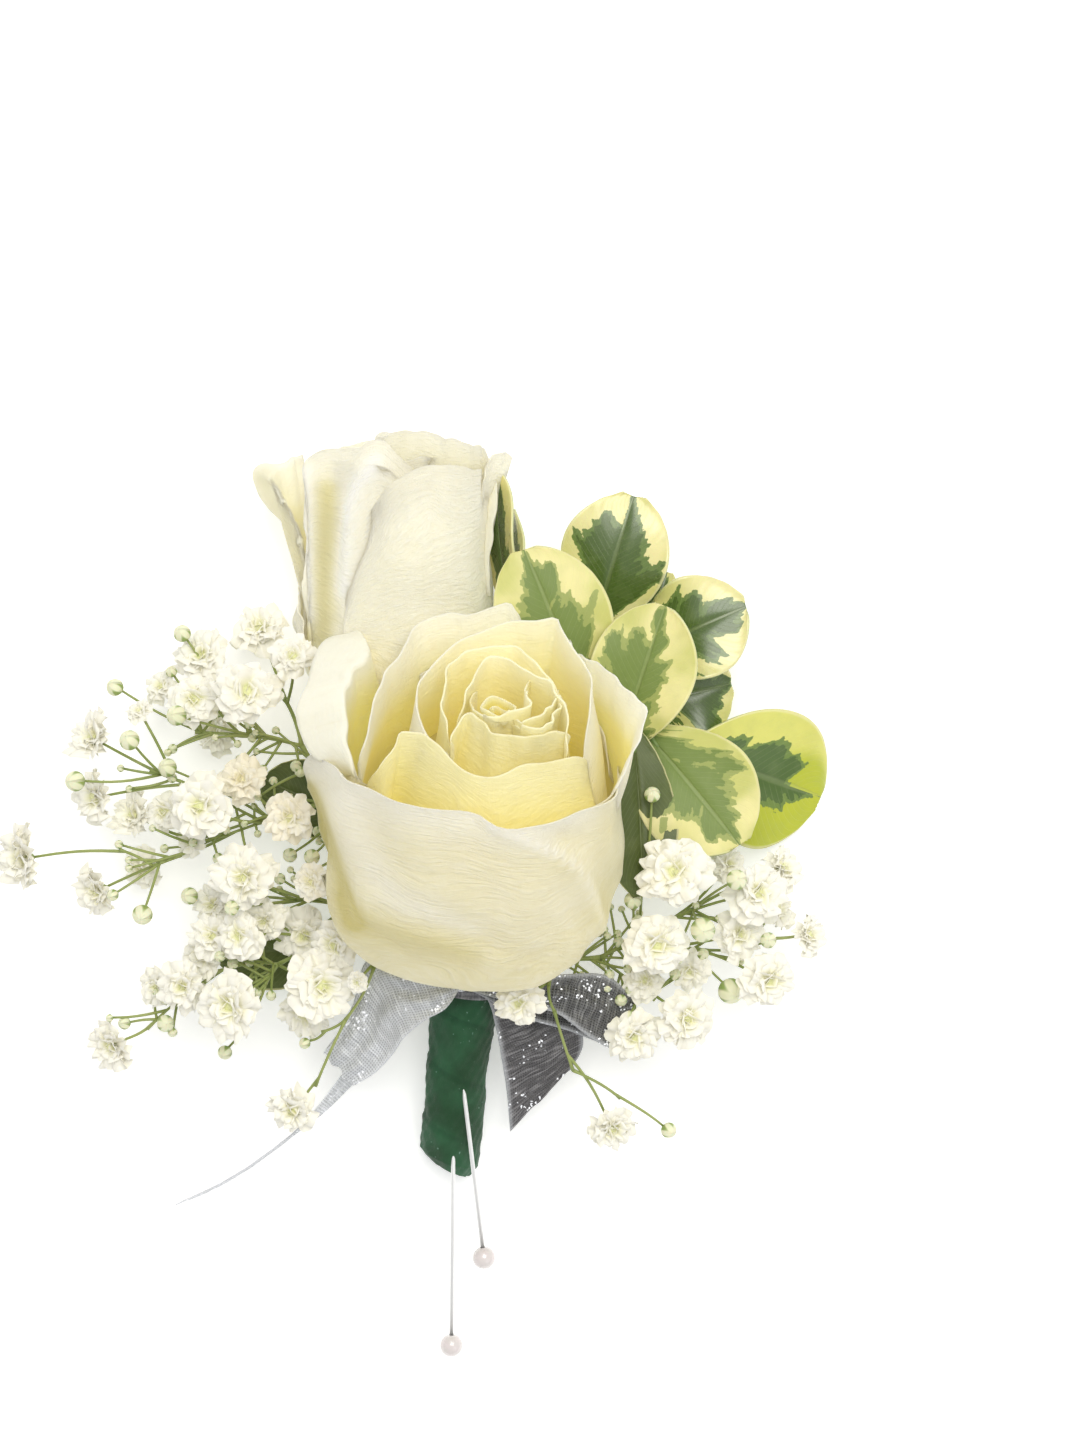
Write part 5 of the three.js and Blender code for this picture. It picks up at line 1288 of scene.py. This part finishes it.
SPRAY_RIGHT = {
    "twigs": [1, 1, 1, 2, 2, 2, 3, 4, 5, 5],
    "forks": [
        (-1, 9.0, 3.8, 10.4), (0, 20.2, 3.4, 11), (1, 25.8, 6.7, 13), (2, 34.2, 10.9, 14),
        (2, 34.2, 4.6, 12), (1, 27.9, -2.4, 12.5), (4, 44.6, 6.2, 12), (0, 13.2, 4.0, 17.4),
        (7, 13.0, 0.0, 22.0), (8, 13.8, -3.6, 21.5), (9, 16.4, -12.0, 17), (10, 23.0, -16.1, 13),
        (2, 26.2, 15.0, 21),
    ],
    "flowers": [
        (3, 30.3, 15.8, 25, 4.8, 0.0), (2, 28.0, 5.6, 22, 4.3, 0.1), (3, 38.0, 16.5, 14, 2.5, 0.3),
        (3, 41.9, 12.8, 20, 4.2, 0.1), (3, 45.8, 16.0, 10, 2.8, 0.3), (4, 39.4, 6.8, 17, 3.5, 0.2),
        (6, 44.8, 9.9, 11, 2.8, 0.3), (6, 49.4, 6.7, 12, 2.5, 0.2), (4, 43.4, 0.6, 18, 3.9, 0.0),
        (5, 32.1, -4.7, 18, 4.0, 0.1), (5, 24.9, -7.2, 16.5, 3.6, 0.0),
        (5, 26.5, 0.4, 15, 2.8, 0.2), (4, 32.8, 1.8, 14, 2.8, 0.3), (10, 21.9, -20.3, 11, 3.3, 0.5),
        (8, 8.9, -2.2, 26, 3.2, 0.4),
    ],
    "buds": [
        (3, 34.3, 7.8, 24, 1.7), (3, 38.9, 14.7, 25, 1.4), (2, 24.7, 11.7, 20, 1.2),
        (4, 38.4, -1.0, 13, 1.8), (6, 43.5, 6.2, 20, 1.1), (12, 27.3, 26.4, 24.5, 1.1),
        (11, 29.8, -20.8, 9, 1.1),
    ],
}

# Florets are a little fuller than their radius. Their rings, from the outside in: petals, length,
# and slope of a petal in degrees.
FULL = 1.07
FLORET_RINGS = [(6, 1.02, 6), (6, 0.94, 26), (6, 0.80, 44), (5, 0.66, 60), (4, 0.52, 74), (3, 0.42, 86)]
# Outlines that are spun: height along the axis and radius, for a floret or bud of radius 1.
CUP = np.array([(0.1, 0.42), (0.0, 0.36), (-0.15, 0.30), (-0.32, 0.2), (-0.46, 0.09)])
DOME = np.array([(0.22, 0.01), (0.2, 0.10), (0.14, 0.20), (0.06, 0.26)])
EGG = np.array([
    (1.28, 0.02), (1.2, 0.3), (0.95, 0.66), (0.5, 0.95), (0.05, 1.02), (-0.4, 0.82), (-0.75, 0.45),
    (-0.95, 0.24),
])


def floret_shape(draw, closed=0.0):
    """Ruffled petals of a floret of radius 1: points (right, front, up), faces and tone.

    A petal is a fan that gets broader outwards, with a notched edge and with waves that grow
    outwards. It is tilted up by its slope, the more the more the floret is closed.
    """
    v, u = np.meshgrid(np.linspace(0, 1, 9), np.linspace(-1, 1, 11), indexing="ij")
    points, faces, tones = [], [], []
    for count, length, slope in FLORET_RINGS:
        for n in range(count):
            grow = length * draw.uniform(0.80, 1.06)
            turn = 2 * np.pi * (n + draw.uniform(-0.3, 0.3)) / count + 3 * slope
            lift = np.radians(mix(slope, 88, closed) + draw.uniform(-16, 16))
            wide = draw.uniform(0.44, 0.62)
            phase, skew = draw.uniform(0, 6.28), draw.uniform(-0.25, 0.25)
            edge = 1 - 0.3 * u**4 - 0.08 * np.exp(-((u / 0.3) ** 2)) + 0.05 * np.sin(7 * u + phase)
            out = grow * v * edge
            side = u * wide * (0.15 + 0.95 * v**0.7) * (1 - 0.12 * v**5) + skew * v**2
            wave = 0.15 * v**1.6 * np.sin(5.0 * u + phase) + 0.08 * v**2 * np.cos(9 * u + 2 * phase)
            rise = out * np.sin(lift) - 0.22 * v**3 + wave + 0.05
            reach = out * np.cos(lift) + 0.05 + 0.3 * closed * v**0.5 * (1 - 0.01 * slope)
            right = reach * np.cos(turn) - side * np.sin(turn)
            front = reach * np.sin(turn) + side * np.cos(turn)
            faces.append(grid_faces(*v.shape) + v.size * len(points))
            place = np.stack([right, front, rise - 0.5 * closed], -1) * (1 + 0.5 * closed)
            points.append(place.reshape(-1, 3))
            tones.append((v * length).ravel())
    return np.concatenate(points), np.concatenate(faces), np.concatenate(tones)


def outside(place):
    """0 in the bunch and 1 at its outer edge."""
    return smooth(abs(place[0]), 40, 50)


def facing(start, end):
    """The way a flower faces: mostly up in the bunch, and along its stalk at the outside."""
    return unit(unit(end - start) * (0.55 + 0.45 * outside(end)) + (0, 0, 0.85))


def bent(start, end, draw, count=9):
    """A line from start to end that strays from straight by half a sine."""
    t = np.linspace(0, 1, count)[:, None]
    stray = draw.normal(0, 0.03, 3) * np.linalg.norm(end - start)
    return start + (end - start) * t + stray * np.sin(np.pi * t)


def floret_parts(flower, radius, warm, shape):
    """Petals, a pale middle and the green cup under them."""
    points, faces, tones = shape
    return [
        part(flower.at(*(points * radius).T), faces, FLORET, tone=tones, seed=warm),
        spin(flower, CUP * radius, 10, STEM),
        spin(flower, DOME * radius, 10, FLORET, tone=0.15, seed=warm),
    ]


def stalk_part(start, flower, depth, thick, draw):
    """A tapered stalk from a place on a branch to a flower's foot, so deep under its base."""
    foot = flower.base - flower.axis * depth
    return tube(bent(start, foot, draw), np.linspace(*thick, 9), STEM, 7)


def branch_parts(forks, places, draw):
    """Lines of the branches from fork to fork, and their tubes, which are thicker at both ends."""
    lines, parts = [], []
    for n, (parent, *_) in enumerate(forks):
        line = bent(places[parent], places[n], draw)
        t = np.linspace(0, 1, len(line))
        knot = np.exp(-((t / 0.08) ** 2)) + np.exp(-(((1 - t) / 0.08) ** 2))
        lines.append(line)
        parts.append(tube(line, max(0.20, 0.36 - 0.03 * n) * (1 + 0.5 * knot), STEM, 8))
    return lines, parts


def spray_parts(name, data, seed):
    """A spray: its branches, its florets, its buds, and small twigs with buds of their own."""
    draw = np.random.default_rng(seed)
    full_open = [floret_shape(draw) for _ in range(7)]
    half_open = [floret_shape(draw, 0.3) for _ in range(3)]
    path = socket_path(name)
    places = [np.array(row[1:], float) for row in data["forks"]] + [path[-1]]
    lines, branches = branch_parts(data["forks"], places, draw)
    parts = [tube(path, 0.40, STEM, 8), *branches]
    for n, (fork, *head, radius, warm) in enumerate(data["flowers"]):
        head = np.array(head, float)
        start = lines[fork][draw.integers(4, 9)]
        flower = Flower(head, facing(start, head))
        shapes = half_open if outside(head) > 0.5 else full_open
        size = radius * FULL
        parts += floret_parts(flower, size, warm, shapes[n % len(shapes)])
        parts.append(stalk_part(start, flower, 0.45 * size, (0.24, 0.19), draw))
    buds = [(lines[fork][7], np.array(place, float), radius) for fork, *place, radius in data["buds"]]
    for n in data["twigs"]:
        for start in lines[n][[1, 3, 5, 6, 7]]:
            away = draw.uniform((-2, -5, 0), (8, 6, 4))
            head = start + away * (np.sign(start[0]), 1, 1)
            buds.append((start, head, draw.uniform(0.45, 0.85)))
    for start, head, radius in buds:
        flower = Flower(head, facing(start, head))
        parts.append(spin(flower, spline(EGG * radius, 18), 20, BUD))
        parts.append(stalk_part(start, flower, 0.9 * radius, (0.22, 0.17), draw))
    return parts


for node, piece_name, data, seed in [
    ("gyp_left_upper", "upper_left_florets", SPRAY_UPPER, 11),
    ("gyp_left_lower", "lower_left_florets", SPRAY_LOWER, 23),
    ("gyp_right", "right_florets", SPRAY_RIGHT, 37),
]:
    add_piece(piece_name, spray_parts(node, data, seed), [node])

# The ribbon. Each strip is swept between two edge lines.
LOOP_LEFT = [
    [(0.4, 1.5, 17.0), (0.6, -0.7, 17.2)], [(-3.6, 2.2, 18.2), (-1.3, -3.3, 18.0)],
    [(-8.0, 2.8, 17.8), (-4.6, -5.3, 17.6)], [(-12.4, 3.2, 16.8), (-7.2, -7.6, 16.8)],
    [(-14.2, -2.6, 15.4), (-9.0, -10.2, 15.6)], [(-16.2, -6.9, 14.4), (-11.4, -12.6, 14.6)],
    [(-18.2, -9.4, 13.4), (-14.0, -14.2, 13.4)], [(-18.4, -9.6, 12.0), (-14.2, -14.2, 12.0)],
    [(-16.6, -7.2, 11.4), (-12.0, -12.6, 11.4)], [(-12.6, -1.6, 12.2), (-8.6, -8.6, 12.0)],
    [(-7.0, 1.6, 14.2), (-4.8, -2.4, 15.2)], [(-0.4, 1.3, 16.2), (0.0, -0.5, 16.4)],
]
LOOP_RIGHT = [
    [(1.2, 1.5, 17.0), (1.4, -0.7, 17.2)], [(5.6, 1.2, 18.0), (5.2, -1.8, 18.0)],
    [(10.6, 1.0, 17.8), (10.2, -3.0, 17.4)], [(16.0, 1.4, 16.8), (14.4, -4.2, 16.2)],
    [(20.8, 1.2, 15.2), (18.6, -7.4, 14.8)], [(24.0, -1.2, 14.0), (21.8, -9.2, 13.6)],
    [(25.2, -2.2, 12.4), (23.0, -9.0, 12.2)], [(23.4, -1.4, 11.4), (20.6, -8.6, 11.4)],
    [(17.0, -0.6, 12.2), (15.4, -6.6, 12.4)], [(9.6, 0.0, 14.6), (9.2, -4.6, 15.0)],
    [(1.2, 1.3, 16.2), (1.4, -0.5, 16.4)],
]
TAIL_RIGHT = [
    [(1.4, -0.6, 16.0), (3.0, 0.9, 16.2)], [(4.4, -2.0, 15.0), (8.4, -0.6, 13.6)],
    [(5.8, -6.8, 12.8), (13.4, -3.4, 11.6)], [(6.5, -11.1, 11.0), (17.2, -6.2, 10.4)],
    [(7.1, -15.3, 9.0), (17.8, -9.2, 9.0)], [(7.6, -21.2, 6.8), (16.0, -12.4, 8.4)],
]
TAIL_LEFT = [
    [(-0.4, 1.0, 16.0), (-0.6, -0.6, 16.0)], [(-5.6, -1.4, 12.2), (-5.4, -4.0, 10.8)],
    [(-11.0, -7.0, 9.8), (-9.4, -9.6, 4.8)], [(-15.4, -12.4, 9.6), (-14.0, -14.2, 1.6)],
    [(-18.9, -17.0, 11.2), (-18.2, -18.4, 0.9)], [(-21.7, -20.2, 12.0), (-21.1, -20.7, 0.7)],
    [(-25.4, -23.3, 12.4), (-25.0, -23.6, 0.6)], [(-29.8, -26.4, 12.4), (-29.4, -26.8, 0.6)],
    [(-34.2, -28.9, 12.2), (-33.6, -29.3, 0.6)], [(-39.2, -31.2, 11.8), (-36.6, -30.6, 0.7)],
]
# The ribbon's thickness, and the points across a strip.
THIN = 0.16
STRIP_COLUMNS = 33
LEAST_WIDE = 10.4


def strip(name, rows, count, material, pleats, depth):
    """A strip of ribbon as a piece, with the size of the sheet it was cut from and its area.

    It runs straight from one edge line to the other, and pleats along it move it out by sines.
    Its size is its greatest width, or LEAST_WIDE if that is more, and the length of its middle.
    Its area is that length times its mean width.
    """
    near, far = (spline([row[k] for row in rows], count) for k in (0, 1))
    i = np.linspace(0, 1, STRIP_COLUMNS)
    j = np.linspace(0, 1, count)[:, None]
    grid = near[:, None] + (far - near)[:, None] * i[:, None]
    normal = unit(np.cross(np.gradient(grid, axis=1), np.gradient(grid, axis=0)))
    wide = np.linalg.norm(far - near, axis=1)
    fold = np.sin(2 * np.pi * pleats * i + 1.3 * np.sin(5 * j))
    grain = 0.3 * np.sin(2 * np.pi * (3.3 * i + 9 * j))
    away = smooth(wide, 1.5, 7.0)[:, None] * np.sin(np.pi * i) ** 0.5
    grid = grid + normal * (depth * away * (fold + grain))[..., None]
    middle = grid[:, STRIP_COLUMNS // 2]
    run = np.append(0, np.cumsum(np.linalg.norm(np.diff(middle, axis=0), axis=1)))
    hem = np.exp(-((np.minimum(i, 1 - i) * wide[:, None] / 0.45) ** 2))
    fields = {"across": (i - 0.5) * wide[:, None], "run": run[:, None], "hem": hem}
    piece = add_piece(name, [sheet(grid, THIN, material, **fields)], ["ribbon_bow"])
    size = max(wide.max(), LEAST_WIDE) / 1000, run[-1] / 1000
    return piece, size, wide.mean() / 1000 * size[1]


def ribbon_band():
    """The turn of ribbon round the wrap: an ellipse a little wider than it, in fine pleats."""
    sides = 96
    turn = np.linspace(0, 2 * np.pi, sides + 1)
    down, turn = np.meshgrid(np.linspace(0.8, 2.9, 15), turn, indexing="ij")
    grow = 0.62 + 0.12 * np.sin(7.2 * down + 0.8 * np.sin(2 * turn))
    grid = handle_point(down, (4.8 + grow) * np.cos(turn), (4.5 + grow) * np.sin(turn))
    fields = {"across": down * 3, "run": turn * 4.6, "hem": 0.3}
    return sheet(grid[:, np.arange(sides + 1) % sides], THIN, RIBBON_PAINTED_SHADE, **fields)


def ribbon_knot():
    """The knot: an egg that lies across the wrap, with pleats that run round it."""
    turns, rows = 72, 40
    turn = np.linspace(0, 2 * np.pi, turns, endpoint=False)
    turn, slope = np.meshgrid(turn, np.linspace(0.03, 3.11, rows))
    pleat = 1 + 0.05 * np.sin(9 * slope + 1.2 * np.sin(turn)) - 0.04
    egg = np.stack([np.cos(slope), np.sin(slope) * np.cos(turn), np.sin(slope) * np.sin(turn)], -1)
    points = np.array([0.8, 0.4, 16.7]) + egg * (2.4, 1.5, 1.35) * pleat[..., None]
    fields = {"across": (slope * 2.4).ravel(), "run": (turn * 1.4).ravel(), "hem": 0.2}
    return part(points.reshape(-1, 3), grid_faces(rows, turns, closed=True), RIBBON_PAINTED_LIT, **fields)


knot = add_piece("ribbon_knot", [ribbon_knot()], ["ribbon_bow"])
band = add_piece("ribbon_band", [ribbon_band()], ["ribbon_bow"])
for name, rows, count, material, pleats, depth, with_pieces in [
    ("ribbon_loop_left", LOOP_LEFT, 150, RIBBON_PAINTED_LIT, 2.4, 0.35, [knot, band]),
    ("ribbon_loop_right", LOOP_RIGHT, 150, RIBBON_PAINTED_HALF_SHADE, 2.0, 0.3, []),
    ("ribbon_tail_right", TAIL_RIGHT, 90, RIBBON_PAINTED_SHADE, 1.6, 0.3, []),
    ("ribbon_tail_left", TAIL_LEFT, 140, RIBBON_PAINTED_LIT, 1.5, 0.12, []),
]:
    piece, size, area = strip(name, rows, count, material, pleats, depth)

# Pins: head, entry into the tape, and how deep the point goes in.
PINS = [(PEARL_1, (-0.4, -24.3, 8.2), 10), ((3.9, -38.9, 7.6), (1.1, -15.3, 10.4), 11.5)]
WIRE_R = 0.30
HOLE_R = 0.42


def pin_wire(head, enter, way, deep):
    """A wire from its head to its point, which is tapered over its last 1.6 mm."""
    tip = enter + way * deep
    line = np.array([head - way * 0.2, enter, tip - way * 1.6, tip - way * 0.8, tip])
    return tube(line, [WIRE_R, WIRE_R, WIRE_R, 0.2, 0.08], PIN, 20)


def pearl_bead(head, way):
    """A ball with a narrow hole at the side where the wire comes out."""
    slope = np.linspace(0.12, math.pi - 0.02, 40)[4:]
    ball = PEARL_R * np.stack([np.cos(slope), np.sin(slope)], -1)
    hole = [(PEARL_R * 0.75, HOLE_R), (PEARL_R * 0.93, HOLE_R)]
    return spin(Flower(head, way), np.vstack([hole, ball]), 64, PEARL_SKIN)


for n, (head, enter, deep) in enumerate(PINS, 1):
    way = unit(np.subtract(enter, head))
    add_piece(f"pin_{n}_wire", [pin_wire(head, enter, way, deep)], [f"pin_{n}_shaft"])
    add_piece(f"pin_{n}_bead", [pearl_bead(head, way)], [f"pin_{n}_pearl"])

# Camera, floor and lights
camera_data = bpy.data.cameras.new("camera")
camera_data.lens = camera_data.sensor_width * VIEW_HEIGHT / PHOTO_TALL
camera = bpy.data.objects.new("camera", camera_data)
camera.location = (EYE + SHIFT) / 1000
bpy.context.scene.collection.objects.link(camera)
bpy.context.scene.camera = camera


def add_floor():
    """A white square just under the table's surface."""
    mesh = bpy.data.meshes.new("floor")
    half = 1.5
    corners = [(-half, -half, 0), (half, -half, 0), (half, half, 0), (-half, half, 0)]
    mesh.from_pydata(corners, [], [(0, 1, 2, 3)])
    s = Shader("floor_white", Roughness=0.9, Specular_IOR_Level=0.1, Emission_Strength=0.36)
    grain = s.noise(60.0, 2.0)
    white = s.blend(grain, (0.93, 0.93, 0.93), (0.95, 0.95, 0.95))
    s.set(Base_Color=white, Emission_Color=white)
    mesh.materials.append(s.material)
    floor = bpy.data.objects.new("floor", mesh)
    floor.location.z = -0.0003
    bpy.context.scene.collection.objects.link(floor)


def add_light(name, place, size, power, colour):
    """A square lamp that is turned to the origin."""
    data = bpy.data.lights.new(name, "AREA")
    data.size = size
    data.energy = power
    data.color = colour
    light = bpy.data.objects.new(name, data)
    light.location = place
    light.rotation_euler = (-light.location).to_track_quat("-Z", "Y").to_euler()
    bpy.context.scene.collection.objects.link(light)


add_floor()
add_light("key", (0.12, 0.35, 1.1), 0.7, 8.0, (1.0, 0.98, 0.94))
add_light("fill", (0.7, -0.6, 0.8), 0.8, 1.2, (0.96, 0.98, 1.0))
world = bpy.data.worlds.new("world")
world.use_nodes = True
background = world.node_tree.nodes["Background"]
background.inputs["Color"].default_value = (1, 1, 1, 1)
background.inputs["Strength"].default_value = 0.62
bpy.context.scene.world = world
bpy.context.scene.view_settings.view_transform = "Standard"


def plain(box):
    """A box's corners as lists of plain numbers."""
    return [[float(x) for x in corner] for corner in box]
